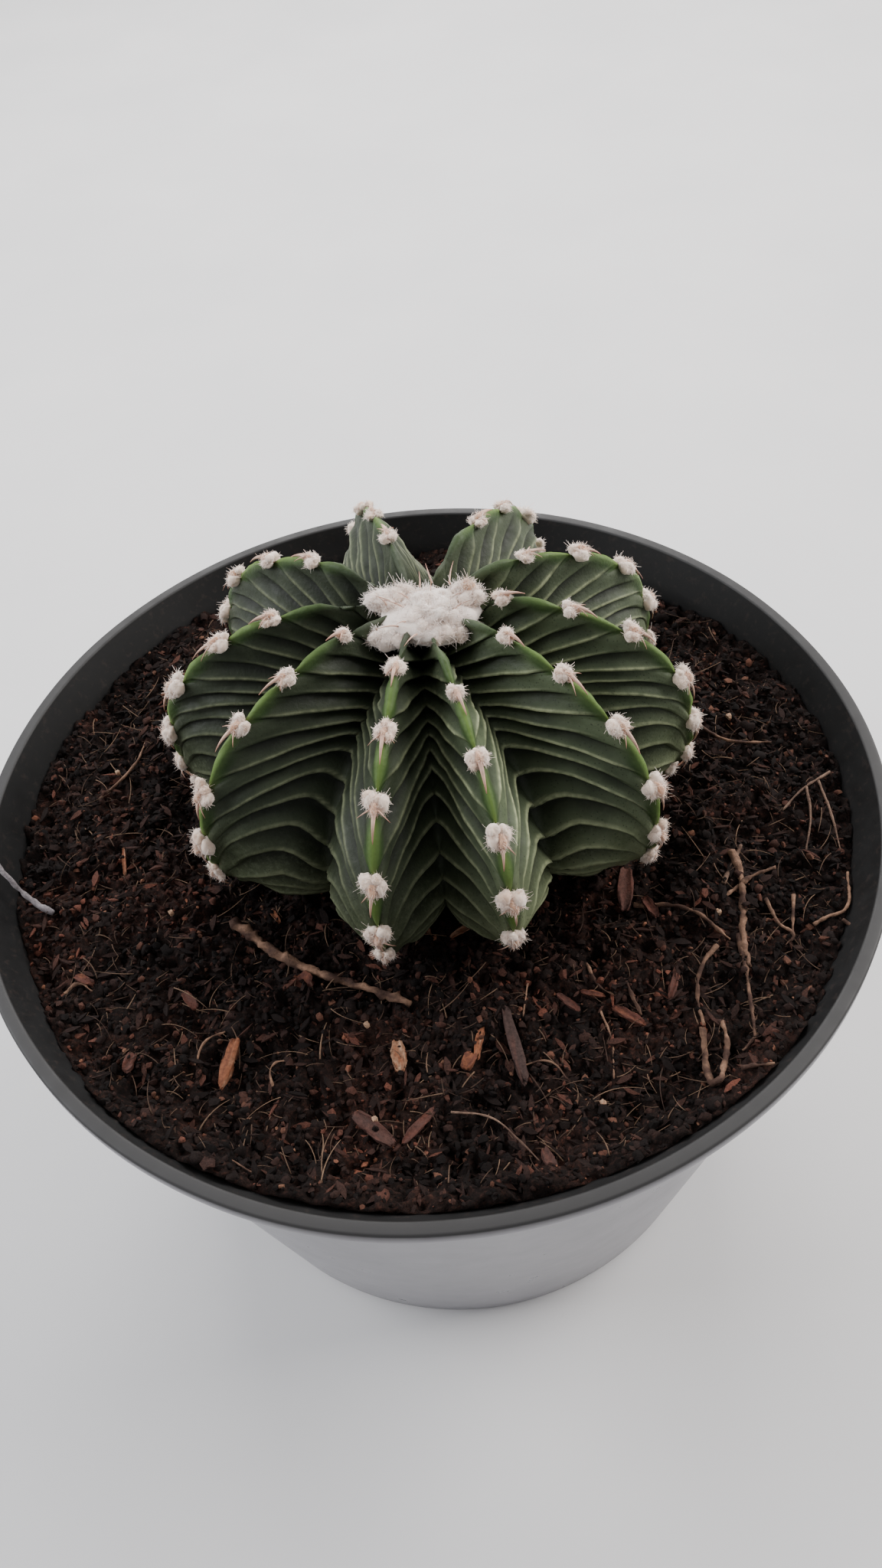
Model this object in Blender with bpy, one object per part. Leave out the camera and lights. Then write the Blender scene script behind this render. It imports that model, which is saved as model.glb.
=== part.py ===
"""A potted round cactus: one ten-ribbed body with woolly areoles, in peat mix in a plastic pot.

Metres and degrees, +Z up. The origin is the centre of the pot's foot, on the surface it stands on.
"""

import math

import bmesh
import bpy
from mathutils import Matrix, Vector

CLEARANCE = 0.0003  # gap kept between pieces that touch

# Pot
RIM_RADIUS = 0.0525
POT_HEIGHT = 0.068
BASE_RADIUS = 0.039
WALL = 0.0012
LIP_WIDTH = 0.0015
LIP_HEIGHT = 0.0020
LIP_OVERHANG = 0.0022  # the lip stands out this far past the wall below it
COVE = 0.0014  # height over which the wall flares out to the lip
EDGE = 0.0004  # small chamfers
FOOT_WIDTH = 0.0030
FOOT_HEIGHT = 0.0025
FLOOR_FILLET = 0.0025
POT_SEGMENTS = 90
HOLE_COUNT = 8
HOLE_RADIUS = 0.0033
HOLE_RING_RADIUS = 0.025
HOLE_SIDES = 12

# Potting mix
FILL_BELOW_RIM = 0.0044
SIDES_RISE = 0.0008  # the mix stands higher at the left and right walls
HOLLOW_DEPTH = 0.0024
HOLLOW_PLACE = (0.026, 0.028)
HOLLOW_WIDTH = 0.015
RELIEF = 0.0004
DISH_INNER = 0.023  # the mix dips towards the plant between these distances from its axis
DISH_OUTER = 0.036
MIX_COLUMNS = 72
RELIEF_RINGS = 9

# Plant
PLANT_AXIS = Vector((0.0014, 0.0042))
RIDGE_RADIUS = 0.0294
RIDGE_RISE = 0.0198  # crown above the widest level
RIDGE_DROP = 0.0134  # underside below the widest level
RIDGE_POWER = 2.37
WAIST_ABOVE_RIM = 0.0056
VALLEY_RADIUS = 0.0205
VALLEY_RISE = 0.0175
VALLEY_DROP = 0.0100
VALLEY_POWER = 1.9
VALLEY_BELOW_WAIST = 0.0036
FLANK_CURVE = 1.15  # above 1 the flanks are hollow, at 1 they are full
CROWN_DIP = 0.0015
CROWN_INNER = 0.004  # ribs fade out between these distances from the axis
CROWN_OUTER = 0.010
LOWEST_LATITUDE = -66.0
COLUMNS_PER_FLANK = 5
BODY_RINGS = 28
NECK_RADIUS = 0.0060
NECK_LENGTH = 0.014
NECK_TAPER = 0.75

# Each rib's bearing, and how far its areoles are shifted down from the top place, in spacings
RIBS = (
    (-104.6, 0.20),
    (-78.4, 0.70),
    (-40.9, 0.30),
    (-11.7, 0.00),
    (22.1, 0.53),
    (58.4, -0.20),
    (102.7, 0.20),
    (141.8, 0.65),
    (178.9, -0.15),
    (211.4, 0.00),
)
AREOLE_LATITUDES = (76.0, 61.0, 45.0, 22.0, 4.0, -9.0, -22.0)
HIGHEST_LATITUDE = 77.0  # above this an areole is part of the crown wool
AREOLES_PER_RIB = 5
AREOLE_LENGTH = 0.0030
AREOLE_BREADTH = 0.0028
AREOLE_THICKNESS = 0.0020
CROWN_WOOL_RADIUS = 0.0056
CROWN_WOOL_THICKNESS = 0.0026
CROWN_LOBES = 5
CROWN_LOBE_DEPTH = 0.10

# Loose bits on the mix. A spot is (bearing from the plant's axis, share of the way from the plant's
# edge to the wall, height above the mix).
TWIG_LIFT = 0.0004
TWIG_TAPER = 0.7
END_TAPER = 0.8
FRONT_TWIG_RADIUS = 0.00055
FRONT_TWIG = ((-143, 0.04, 0.0006), (-135, 0.03, 0), (-127, 0.02, 0), (-119, 0.02, 0),
              (-110, 0.02, 0), (-100, 0.08, 0))
FORKED_TWIG_RADIUS = 0.0005
FORKED_TWIG = ((-28, 0.33, 0.0005), (-32, 0.42, 0), (-38, 0.50, 0), (-43, 0.58, 0), (-46, 0.67, 0))
FORK_BRANCH = ((-33.5, 0.435, 0), (-31, 0.50, 0.0003), (-29, 0.59, 0.0006))
RIM_TWIG_RADIUS = 0.0005
RIM_TWIG = ((-58, 0.70, 0.0008), (-60, 0.79, 0), (-61.5, 0.87, 0), (-62, 0.93, 0),
            (-59.5, 0.89, 0.0003), (-57, 0.82, 0.0006), (-55.5, 0.74, 0.0010))
ROOT_STRAND_RADIUS = 0.00035
ROOT_STRAND = ((-162, 0.82, 0), (-164, 0.90, 0.0009))
STRAND_HUMP = 0.0009  # the strand's rise above the rim's plane just inside the lip
STRAND_BEARINGS = (-172.0, -175.5, -178.0, -180.0)  # from the pot's axis, going out over the lip
STICK_SIZE = (0.0016, 0.0090, 0.0006)
STICK_SPOT = (-82, 0.40)
STICK_TURN = 7.0
CHIP_SIZE = (0.0019, 0.0062, 0.0012)
CHIP_SPOT = (-123, 0.63)
CHIP_TURN = -15.0


def smooth_step(low, high, value):
    share = min(max((value - low) / (high - low), 0.0), 1.0)
    return share * share * (3.0 - 2.0 * share)


def blend(first, second, share):
    return first + (second - first) * share


def clear_scene():
    for item in list(bpy.data.objects):
        bpy.data.objects.remove(item, do_unlink=True)


def make_material(name, colour, roughness):
    material = bpy.data.materials.new(name)
    material.use_nodes = True
    shader = material.node_tree.nodes["Principled BSDF"]
    shader.inputs["Base Color"].default_value = (*colour, 1.0)
    shader.inputs["Roughness"].default_value = roughness
    shader.inputs["Metallic"].default_value = 0.0
    return material


def add_object(name, shape, material):
    """Turns a closed bmesh into a smooth-shaded object of this name, faces out."""
    bmesh.ops.recalc_face_normals(shape, faces=shape.faces)
    if shape.calc_volume(signed=True) < 0.0:
        bmesh.ops.reverse_faces(shape, faces=shape.faces)
    mesh = bpy.data.meshes.new(name)
    shape.to_mesh(mesh)
    shape.free()
    mesh.shade_smooth()
    mesh.set_sharp_from_angle(angle=math.radians(40))
    mesh.materials.append(material)
    made = bpy.data.objects.new(name, mesh)
    bpy.context.scene.collection.objects.link(made)
    return made


def ringed_solid(columns, rings, place):
    """A closed shape of rings round an axis: place(ring, angle) gives each point, poles included."""
    shape = bmesh.new()
    bmesh.ops.create_uvsphere(shape, u_segments=columns, v_segments=rings, radius=1.0)
    for vertex in shape.verts:
        latitude = math.asin(max(-1.0, min(1.0, vertex.co.z)))
        ring = round((latitude / math.pi + 0.5) * rings)
        column = round(math.atan2(vertex.co.y, vertex.co.x) / math.tau * columns) % columns
        vertex.co = place(ring, column * math.tau / columns)
    return shape


# Pot


def outer_wall(height):
    share = height / (POT_HEIGHT - LIP_HEIGHT)
    return blend(BASE_RADIUS, RIM_RADIUS - LIP_OVERHANG, share)


def inner_wall(height):
    return outer_wall(height) - WALL


def floor_height():
    return FOOT_HEIGHT + WALL


def pot_profile():
    """(radius, height) points from the axis under the floor, up the outside and back down the inside."""
    lip_foot = POT_HEIGHT - LIP_HEIGHT
    cove_foot = lip_foot - COVE
    corner = floor_height() + FLOOR_FILLET
    return (
        (0.0, FOOT_HEIGHT),
        (BASE_RADIUS - FOOT_WIDTH - 2 * EDGE, FOOT_HEIGHT),
        (BASE_RADIUS - FOOT_WIDTH, 0.0),
        (BASE_RADIUS - EDGE, 0.0),
        (BASE_RADIUS, EDGE),
        (outer_wall(cove_foot), cove_foot),
        (RIM_RADIUS - EDGE, lip_foot),
        (RIM_RADIUS, lip_foot + EDGE),
        (RIM_RADIUS, POT_HEIGHT - EDGE),
        (RIM_RADIUS - EDGE, POT_HEIGHT),
        (RIM_RADIUS - LIP_WIDTH + EDGE, POT_HEIGHT),
        (RIM_RADIUS - LIP_WIDTH, POT_HEIGHT - EDGE),
        (inner_wall(cove_foot), cove_foot),
        (inner_wall(corner), corner),
        (inner_wall(floor_height()) - FLOOR_FILLET, floor_height()),
        (0.0, floor_height()),
    )


def make_pot(material):
    shape = bmesh.new()
    points = [shape.verts.new((radius, 0.0, height)) for radius, height in pot_profile()]
    edges = [shape.edges.new(pair) for pair in zip(points, points[1:])]
    bmesh.ops.spin(shape, geom=points + edges, axis=(0, 0, 1), cent=(0, 0, 0),
                   angle=math.tau, steps=POT_SEGMENTS, use_merge=True)
    bmesh.ops.remove_doubles(shape, verts=shape.verts, dist=1e-6)
    pot = add_object("pot", shape, material)
    cut = pot.modifiers.new("drainage", "BOOLEAN")
    cut.operation = "DIFFERENCE"
    cut.solver = "EXACT"
    cut.object = make_hole_cutter(material)


def make_hole_cutter(material):
    """A ring of upright plugs that pass through the floor."""
    shape = bmesh.new()
    for number in range(HOLE_COUNT):
        turn = Matrix.Rotation(math.tau * number / HOLE_COUNT, 4, "Z")
        middle = Matrix.Translation((HOLE_RING_RADIUS, 0.0, FOOT_HEIGHT + WALL / 2))
        bmesh.ops.create_cone(shape, cap_ends=True, segments=HOLE_SIDES, radius1=HOLE_RADIUS,
                              radius2=HOLE_RADIUS, depth=3 * WALL, matrix=turn @ middle)
    cutter = add_object("drainage_cutter", shape, material)
    cutter.hide_render = True
    cutter.display_type = "WIRE"
    return cutter


# Plant


def profile(latitude, radius, rise, drop, power):
    """Radius and height above the waist of a rounded-square outline, at a latitude in degrees."""
    turn = math.radians(latitude)
    across = radius * abs(math.cos(turn)) ** (2.0 / power)
    up = abs(math.sin(turn)) ** (2.0 / power)
    return across, rise * up if latitude > 0 else -drop * up


def crown_dip(across):
    return CROWN_DIP * max(0.0, 1.0 - (across / CROWN_OUTER) ** 2)


def ridge_point(latitude):
    across, up = profile(latitude, RIDGE_RADIUS, RIDGE_RISE, RIDGE_DROP, RIDGE_POWER)
    return across, POT_HEIGHT + WAIST_ABOVE_RIM + up - crown_dip(across) * (latitude > 0)


def valley_point(latitude):
    across, up = profile(latitude, VALLEY_RADIUS, VALLEY_RISE, VALLEY_DROP, VALLEY_POWER)
    return across, POT_HEIGHT + WAIST_ABOVE_RIM - VALLEY_BELOW_WAIST + up


def rib_places():
    """(bearing, share from ridge to valley) of each column round the body, in radians."""
    places = []
    for (bearing, _), (following, _) in zip(RIBS, RIBS[1:] + RIBS[:1]):
        gap = (following - bearing) % 360.0
        for step in range(2 * COLUMNS_PER_FLANK):
            across = step / (2 * COLUMNS_PER_FLANK)
            places.append((math.radians(bearing + gap * across), 1.0 - abs(1.0 - 2.0 * across)))
    return places


def body_point(bearing, from_ridge, latitude):
    ridge_across, ridge_up = ridge_point(latitude)
    valley_across, valley_up = valley_point(latitude)
    share = (1.0 - from_ridge) ** FLANK_CURVE
    share = blend(1.0, share, smooth_step(CROWN_INNER, CROWN_OUTER, ridge_across))
    across = blend(valley_across, ridge_across, share)
    return around_plant(bearing, across, blend(valley_up, ridge_up, share))


def around_plant(bearing, across, height):
    return Vector((PLANT_AXIS.x + across * math.cos(bearing),
                   PLANT_AXIS.y + across * math.sin(bearing), height))


def underside_height():
    return min(ridge_point(LOWEST_LATITUDE)[1], valley_point(LOWEST_LATITUDE)[1])


def neck_bottom():
    return underside_height() - NECK_LENGTH


def make_cactus_body(material):
    places = rib_places()
    columns = len(places)
    neck_rings = 2
    body_rings = BODY_RINGS - neck_rings

    def place(ring, angle):
        bearing, from_ridge = places[round(angle / math.tau * columns) % columns]
        if ring == 0:
            return around_plant(0.0, 0.0, neck_bottom())
        if ring <= neck_rings:
            across = NECK_RADIUS * (NECK_TAPER if ring == 1 else 1.0)
            height = neck_bottom() if ring == 1 else underside_height() - 2 * CLEARANCE
            return around_plant(bearing, across, height)
        share = (ring - neck_rings - 1) / (body_rings - 1)
        return body_point(bearing, from_ridge, blend(LOWEST_LATITUDE, 90.0, share))

    add_object("cactus_body", ringed_solid(columns, BODY_RINGS, place), material)


def areole_latitude(place):
    """Latitude of the areole this many spacings down from the top of a rib."""
    last = len(AREOLE_LATITUDES) - 2
    step = min(max(math.floor(place), 0), last)
    return blend(AREOLE_LATITUDES[step], AREOLE_LATITUDES[step + 1], place - step)


def rib_areoles(shift):
    latitudes = (areole_latitude(count + shift) for count in range(len(AREOLE_LATITUDES)))
    return [latitude for latitude in latitudes if latitude < HIGHEST_LATITUDE][:AREOLES_PER_RIB]


def areole_frame(bearing, latitude):
    """Centre of a tuft on a rib's edge, and its axes: round the plant, down the rib and outwards."""
    here = around_plant(bearing, *ridge_point(latitude))
    down = (around_plant(bearing, *ridge_point(latitude - 1.0)) - here).normalized()
    sideways = Vector((-math.sin(bearing), math.cos(bearing), 0.0))
    outwards = sideways.cross(down).normalized()
    if outwards.dot(here - around_plant(0.0, 0.0, POT_HEIGHT)) < 0.0:
        outwards.negate()
    lift = AREOLE_THICKNESS / 2 + CLEARANCE
    return here + outwards * lift, sideways, down, outwards


def make_areole(name, bearing, latitude, material):
    centre, sideways, down, outwards = areole_frame(bearing, latitude)
    shape = bmesh.new()
    bmesh.ops.create_uvsphere(shape, u_segments=8, v_segments=5, radius=0.5)
    for vertex in shape.verts:
        spot = vertex.co.copy()
        vertex.co = (centre + sideways * (spot.x * AREOLE_BREADTH)
                     + down * (spot.y * AREOLE_LENGTH) + outwards * (spot.z * AREOLE_THICKNESS))
    add_object(name, shape, material)


def make_crown_wool(material):
    """A cushion on the growing point, its underside along the crown's own outline."""
    shares = (0.0, 0.5, 1.0)
    under = [latitude_at(CROWN_WOOL_RADIUS * share) for share in shares]
    rise = (1.0, 0.75, 0.35)
    rings = 2 * len(shares) - 1

    def place(ring, angle):
        lobe = 1.0 + CROWN_LOBE_DEPTH * math.cos(CROWN_LOBES * angle)
        step = ring if ring < len(shares) else rings - ring
        across, height = ridge_point(under[step])
        height += 2 * CLEARANCE
        if ring >= len(shares):
            height += CROWN_WOOL_THICKNESS * rise[step]
        return around_plant(angle, across * lobe * (1.0 - CROWN_LOBE_DEPTH), height)

    add_object("crown_wool", ringed_solid(24, rings, place), material)


def latitude_at(across):
    """Latitude where the upper ridge outline is this far from the axis."""
    share = (across / RIDGE_RADIUS) ** (RIDGE_POWER / 2.0)
    return math.degrees(math.acos(share))


# Potting mix


def mix_height(x, y):
    """Height of the mix's surface."""
    bearing = math.atan2(y, x)
    edge = min(1.0, math.hypot(x, y) / RIM_RADIUS)
    height = POT_HEIGHT - FILL_BELOW_RIM + SIDES_RISE * edge * edge * math.cos(2 * bearing)
    hollow = math.hypot(x - HOLLOW_PLACE[0], y - HOLLOW_PLACE[1]) / HOLLOW_WIDTH
    height -= HOLLOW_DEPTH * math.exp(-hollow * hollow)
    height += RELIEF * math.sin(700 * x + 1.3) * math.sin(610 * y + 0.4)
    height += RELIEF * math.sin(430 * x - 380 * y)
    away = (Vector((x, y)) - PLANT_AXIS).length
    return blend(dish_height(), height, smooth_step(DISH_INNER, DISH_OUTER, away))


def mix_edge():
    return inner_wall(POT_HEIGHT - FILL_BELOW_RIM) - CLEARANCE


def dish_height():
    return underside_height() - 3 * CLEARANCE


def make_potting_mix(material):
    bottom = floor_height() + CLEARANCE
    corner = floor_height() + FLOOR_FILLET
    mouth = NECK_RADIUS + CLEARANCE
    top_edge = 3
    last = top_edge + RELIEF_RINGS + 2

    def place(ring, angle):
        direction = Vector((math.cos(angle), math.sin(angle)))
        if ring == 0:
            return Vector((0.0, 0.0, bottom))
        if ring == 1:
            spot = direction * (inner_wall(bottom) - FLOOR_FILLET - CLEARANCE)
            return Vector((spot.x, spot.y, bottom))
        if ring == 2:
            spot = direction * (inner_wall(corner) - CLEARANCE)
            return Vector((spot.x, spot.y, corner))
        if ring == last:
            return around_plant(0.0, 0.0, neck_bottom() - CLEARANCE)
        if ring == last - 1:
            return around_plant(angle, mouth, neck_bottom() - CLEARANCE)
        wall_spot = direction * mix_edge()
        wall_spot = direction * (inner_wall(mix_height(*wall_spot)) - CLEARANCE)
        mouth_spot = PLANT_AXIS + direction * mouth
        spot = wall_spot.lerp(mouth_spot, (ring - top_edge) / RELIEF_RINGS)
        return Vector((spot.x, spot.y, mix_height(spot.x, spot.y)))

    add_object("potting_mix", ringed_solid(MIX_COLUMNS, last, place), material)


# Loose bits


def on_mix(bearing, share):
    """The point this share of the way from the plant's widest edge to the edge of the mix."""
    turn = math.radians(bearing)
    direction = Vector((math.cos(turn), math.sin(turn)))
    along = PLANT_AXIS.dot(direction)
    reach = math.sqrt(along ** 2 + mix_edge() ** 2 - PLANT_AXIS.length_squared) - along
    return PLANT_AXIS + direction * blend(RIDGE_RADIUS, reach, share)


def laid(route, radius):
    """The route's points as the middle of a tube that lies on the mix."""
    lift = radius + CLEARANCE + TWIG_LIFT
    spots = [(on_mix(bearing, share), above) for bearing, share, above in route]
    return [Vector((spot.x, spot.y, mix_height(spot.x, spot.y) + lift + above)) for spot, above in spots]


def make_tube(name, points, radius, material):
    """A twig or root: a smooth round-ended tube through the points, thinner at its far end."""
    curve = bpy.data.curves.new(name, "CURVE")
    curve.dimensions = "3D"
    curve.resolution_u = 3
    curve.bevel_depth = radius
    curve.bevel_resolution = 1
    curve.use_fill_caps = True
    spline = curve.splines.new("BEZIER")
    spline.bezier_points.add(len(points) - 1)
    for number, (bezier, point) in enumerate(zip(spline.bezier_points, points)):
        bezier.co = point
        bezier.handle_left_type = "AUTO"
        bezier.handle_right_type = "AUTO"
        bezier.radius = blend(1.0, TWIG_TAPER, number / (len(points) - 1))
    guide = bpy.data.objects.new(name + "_guide", curve)
    bpy.context.scene.collection.objects.link(guide)
    guide.hide_render = True
    guide.display_type = "WIRE"
    graph = bpy.context.evaluated_depsgraph_get()
    mesh = bpy.data.meshes.new_from_object(guide.evaluated_get(graph))
    shape = bmesh.new()
    shape.from_mesh(mesh)
    bmesh.ops.remove_doubles(shape, verts=shape.verts, dist=1e-6)
    return add_object(name, shape, material)


def make_forked_twig(material):
    trunk = make_tube("forked_twig", laid(FORKED_TWIG, FORKED_TWIG_RADIUS), FORKED_TWIG_RADIUS, material)
    branch = make_tube("fork_branch", laid(FORK_BRANCH, FORKED_TWIG_RADIUS),
                       0.8 * FORKED_TWIG_RADIUS, material)
    branch.hide_render = True
    branch.display_type = "WIRE"
    join = trunk.modifiers.new("branch", "BOOLEAN")
    join.operation = "UNION"
    join.solver = "EXACT"
    join.object = branch


def make_flat_bit(name, size, spot, turn, material):
    """A flat sliver of wood or bark with tapered ends, bent to the mix it lies on."""
    breadth, length, thickness = size
    shape = bmesh.new()
    bmesh.ops.create_cube(shape, size=1.0)
    long_edges = [edge for edge in shape.edges if abs(edge.verts[0].co.y - edge.verts[1].co.y) > 0.5]
    bmesh.ops.subdivide_edges(shape, edges=long_edges, cuts=3)
    middle = on_mix(*spot)
    rotation = Matrix.Rotation(math.radians(turn), 2)
    for vertex in shape.verts:
        narrow = 1.0 - END_TAPER * (2.0 * vertex.co.y) ** 4
        flat = middle + rotation @ Vector((vertex.co.x * breadth * narrow, vertex.co.y * length))
        lift = CLEARANCE + TWIG_LIFT + (vertex.co.z + 0.5) * thickness * narrow
        vertex.co = Vector((flat.x, flat.y, mix_height(flat.x, flat.y) + lift))
    add_object(name, shape, material)


def strand_points():
    """The root strand's way from the mix up and over onto the lip."""
    lip_middle = RIM_RADIUS - LIP_WIDTH / 2
    on_lip = POT_HEIGHT + CLEARANCE + ROOT_STRAND_RADIUS
    stations = ((lip_middle - 2 * LIP_WIDTH, on_lip), (lip_middle - LIP_WIDTH, on_lip + STRAND_HUMP),
                (lip_middle, on_lip), (lip_middle, on_lip))
    points = laid(ROOT_STRAND, ROOT_STRAND_RADIUS)
    for bearing, (across, height) in zip(STRAND_BEARINGS, stations):
        turn = math.radians(bearing)
        points.append(Vector((across * math.cos(turn), across * math.sin(turn), height)))
    return points


def make_loose_bits(wood, bark, root):
    make_tube("front_twig", laid(FRONT_TWIG, FRONT_TWIG_RADIUS), FRONT_TWIG_RADIUS, wood)
    make_forked_twig(wood)
    make_tube("rim_twig", laid(RIM_TWIG, RIM_TWIG_RADIUS), RIM_TWIG_RADIUS, wood)
    make_tube("root_strand", strand_points(), ROOT_STRAND_RADIUS, root)
    make_flat_bit("flat_stick", STICK_SIZE, STICK_SPOT, STICK_TURN, wood)
    make_flat_bit("bark_chip", CHIP_SIZE, CHIP_SPOT, CHIP_TURN, bark)


def main():
    clear_scene()
    plastic = make_material("pot_plastic", (0.085, 0.088, 0.098), 0.5)
    peat = make_material("peat", (0.020, 0.012, 0.009), 0.95)
    skin = make_material("cactus_skin", (0.045, 0.085, 0.030), 0.55)
    wool = make_material("areole_wool", (0.72, 0.66, 0.62), 0.95)
    felt = make_material("crown_felt", (0.78, 0.71, 0.62), 0.95)
    wood = make_material("twig_wood", (0.16, 0.095, 0.055), 0.85)
    bark = make_material("bark", (0.28, 0.12, 0.06), 0.85)
    root = make_material("dry_root", (0.30, 0.28, 0.29), 0.8)

    make_pot(plastic)
    make_potting_mix(peat)
    make_cactus_body(skin)
    make_crown_wool(felt)
    for rib, (bearing, shift) in enumerate(RIBS, start=1):
        for number, latitude in enumerate(rib_areoles(shift), start=1):
            make_areole(f"areole_r{rib}_{number}", math.radians(bearing), latitude, wool)
    make_loose_bits(wood, bark, root)


main()
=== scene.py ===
from math import cos, pi, radians, sin, sqrt, tau

import bmesh
import bpy
import numpy as np
from mathutils import Matrix, Vector, noise


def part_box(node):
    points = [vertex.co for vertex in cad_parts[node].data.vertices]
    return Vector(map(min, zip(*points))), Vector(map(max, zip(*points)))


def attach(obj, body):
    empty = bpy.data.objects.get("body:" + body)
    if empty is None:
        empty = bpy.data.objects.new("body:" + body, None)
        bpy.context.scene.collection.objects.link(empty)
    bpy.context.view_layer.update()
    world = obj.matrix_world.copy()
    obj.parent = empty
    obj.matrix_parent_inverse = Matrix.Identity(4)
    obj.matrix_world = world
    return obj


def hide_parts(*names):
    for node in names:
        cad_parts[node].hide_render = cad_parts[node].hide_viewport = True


# The looks of a potted round cactus: ribbed skin with folds, woolly areoles, spines, peat and pot.
# Metres and degrees, +Z up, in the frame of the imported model.

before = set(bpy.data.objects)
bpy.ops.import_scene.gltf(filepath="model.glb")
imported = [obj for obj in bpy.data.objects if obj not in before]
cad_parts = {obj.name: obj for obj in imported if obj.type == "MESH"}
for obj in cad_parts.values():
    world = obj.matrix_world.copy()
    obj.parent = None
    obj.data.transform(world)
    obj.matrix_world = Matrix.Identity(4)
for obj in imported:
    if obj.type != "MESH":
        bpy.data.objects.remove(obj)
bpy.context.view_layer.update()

MM = 0.001
POT_LOW, POT_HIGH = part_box("pot")
RIM_HEIGHT = POT_HIGH.z
RIM_RADIUS = (POT_HIGH.x - POT_LOW.x) / 2

# Pot wall
FOOT_RADIUS = 39.0 * MM
WALL = 1.2 * MM
LIP_WIDTH = 1.5 * MM
LIP_EDGE = 0.35 * MM
LIP_HEIGHT = 2.0 * MM
LIP_OVERHANG = 2.2 * MM
COVE = 1.4 * MM
FOOT_WIDTH = 3.0 * MM
FOOT_HEIGHT = 2.5 * MM
FLOOR_FILLET = 2.5 * MM
POT_STEPS = 240
HOLE_COUNT = 8
HOLE_RADIUS = 3.3 * MM
HOLE_RING_RADIUS = 25.0 * MM
WALL_WAVE = 0.10 * MM
WALL_RINGS = 24
FOOT_EDGE = 0.5 * MM
LIP_FOOT_EDGE = 0.45 * MM

# Potting mix
FILL_BELOW_RIM = 4.4 * MM
SIDES_RISE = 0.8 * MM
HOLLOW_DEPTH = 2.4 * MM
HOLLOW_PLACE = (26.0 * MM, 28.0 * MM)
HOLLOW_WIDTH = 15.0 * MM
DISH_INNER = 23.0 * MM
DISH_OUTER = 36.0 * MM
DISH_BELOW_RIM = 5.9 * MM
BANK_RISE = 3.5 * MM  # the mix is banked up against the front of the wall
CRUST_BEARING = -33.0
CRUST_SPREAD = 17.0
CRUST_RADIUS = 32.5 * MM
CRUST_RISE = 1.3 * MM
CRUST_DIP = 1.6 * MM
BED_GAP = 0.15 * MM
CLEAR_OF_PLANT = 19.0 * MM
BED_COLUMNS = 640
BED_RINGS = 150

# Plant
PLANT_AXIS = np.array((1.4 * MM, 4.2 * MM))
WAIST = RIM_HEIGHT + 5.6 * MM
VALLEY_WAIST = WAIST - 3.6 * MM
RIDGE_OUTLINE = (29.4 * MM, 19.8 * MM, 13.4 * MM, 2.37)  # radius, rise, drop, squareness
VALLEY_OUTLINE = (20.5 * MM, 17.5 * MM, 10.0 * MM, 1.9)
CROWN_DIP = 1.5 * MM
CROWN_DIP_RADIUS = 10.0 * MM
CROWN_INNER = 2.0 * MM
CROWN_OUTER = 6.0 * MM
FLANK_COLUMNS = 16
# How steeply a flank falls away from its ridge: latitude and steepness
FLANK_LATITUDES = (-66.0, -5.0, 20.0, 50.0, 90.0)
FLANK_CURVES = (0.62, 0.72, 1.05, 1.50, 1.7)
# Some sides of the plant are paler than others: bearing and tone
TONE_BEARINGS = (-180.0, -150.0, -128.0, -112.0, -92.0, -76.0, -60.0, -30.0, 0.0, 40.0, 90.0, 140.0, 180.0)
TONES = (0.24, 0.34, 0.40, 0.20, 0.48, 0.98, 1.0, 0.98, 0.80, 0.62, 0.45, 0.30, 0.24)
SKIN_RINGS = 300
LOW_RINGS = 60  # rings under the last areole

# Each rib's bearing, the shift of its areoles in spacings, and how many areoles it has
RIBS = (
    (-104.6, 0.20, 6),
    (-78.4, 0.70, 5),
    (-40.9, 0.30, 6),
    (-11.7, 0.00, 7),
    (22.1, 0.53, 5),
    (58.4, -0.20, 6),
    (102.7, 0.20, 6),
    (141.8, 0.65, 5),
    (178.9, -0.15, 6),
    (211.4, 0.00, 6),
)
TUFT_PLACES = (0.0, 1.0, 2.0, 3.0, 4.0, 5.0)
TUFT_SIZES = (0.66, 0.72, 0.86, 1.0, 1.05, 0.85)
CAD_AREOLES = 5  # areoles of each rib that have a solid of their own
# Latitude on a ridge at each areole place, from the crown (-1) to the foot
PLACES = (-1.0, 0.0, 1.0, 2.0, 3.0, 4.0, 5.0, 6.0, 7.2, 8.5)
PLACE_LATITUDES = (90.0, 76.0, 61.0, 45.0, 22.0, 4.0, -9.0, -22.0, -40.0, -66.0)
# A fold leaves the ridge at the first latitude and meets the valley at the second
RIDGE_LATITUDES = (-66.0, -40.0, -22.0, -11.0, -5.0, 2.0, 11.0, 24.0, 46.0, 61.0, 76.0, 90.0)
VALLEY_LATITUDES = (-66.0, -24.0, -1.0, 16.0, 26.5, 37.0, 45.5, 52.5, 60.0, 70.0, 79.0, 90.0)
FOLD_DROOP = 2.2
VALLEY_SAG = 9.0  # degrees by which the lowest folds curl down again at a wide valley
FOLD_HEIGHT = 0.95 * MM
FOLD_OVERHANG = 0.30 * MM
FOLD_CREST = 0.84  # share of a fold's width at which its lip stands
RIDGE_LOBE = 0.45 * MM
RIDGE_NOTCH = 0.30 * MM

# Wool, its hairs and the spines of the crown
HAIR_RADIUS = 0.028 * MM
TUFT_HAIR = 0.48  # length of a tuft's hairs, as a share of its size
CROWN_HAIR = 0.7 * MM
CROWN_HAIRS_PER_MM = 95
CROWN_MIDDLE = (1.4, -1.9)  # mm from the plant's axis
CROWN_LUMPS = 34
CROWN_SPREAD = 4.2
CROWN_SPINES = 16

# Setting
BENCH_SIZE = 3.0
CAMERA_LENS = 27.07
CAMERA_PLACE = (0.00179, -0.08944, RIM_HEIGHT + 0.10489)
CAMERA_TILT = 49.6847
CAMERA_ROLL = -6.5075


# Small tools


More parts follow.
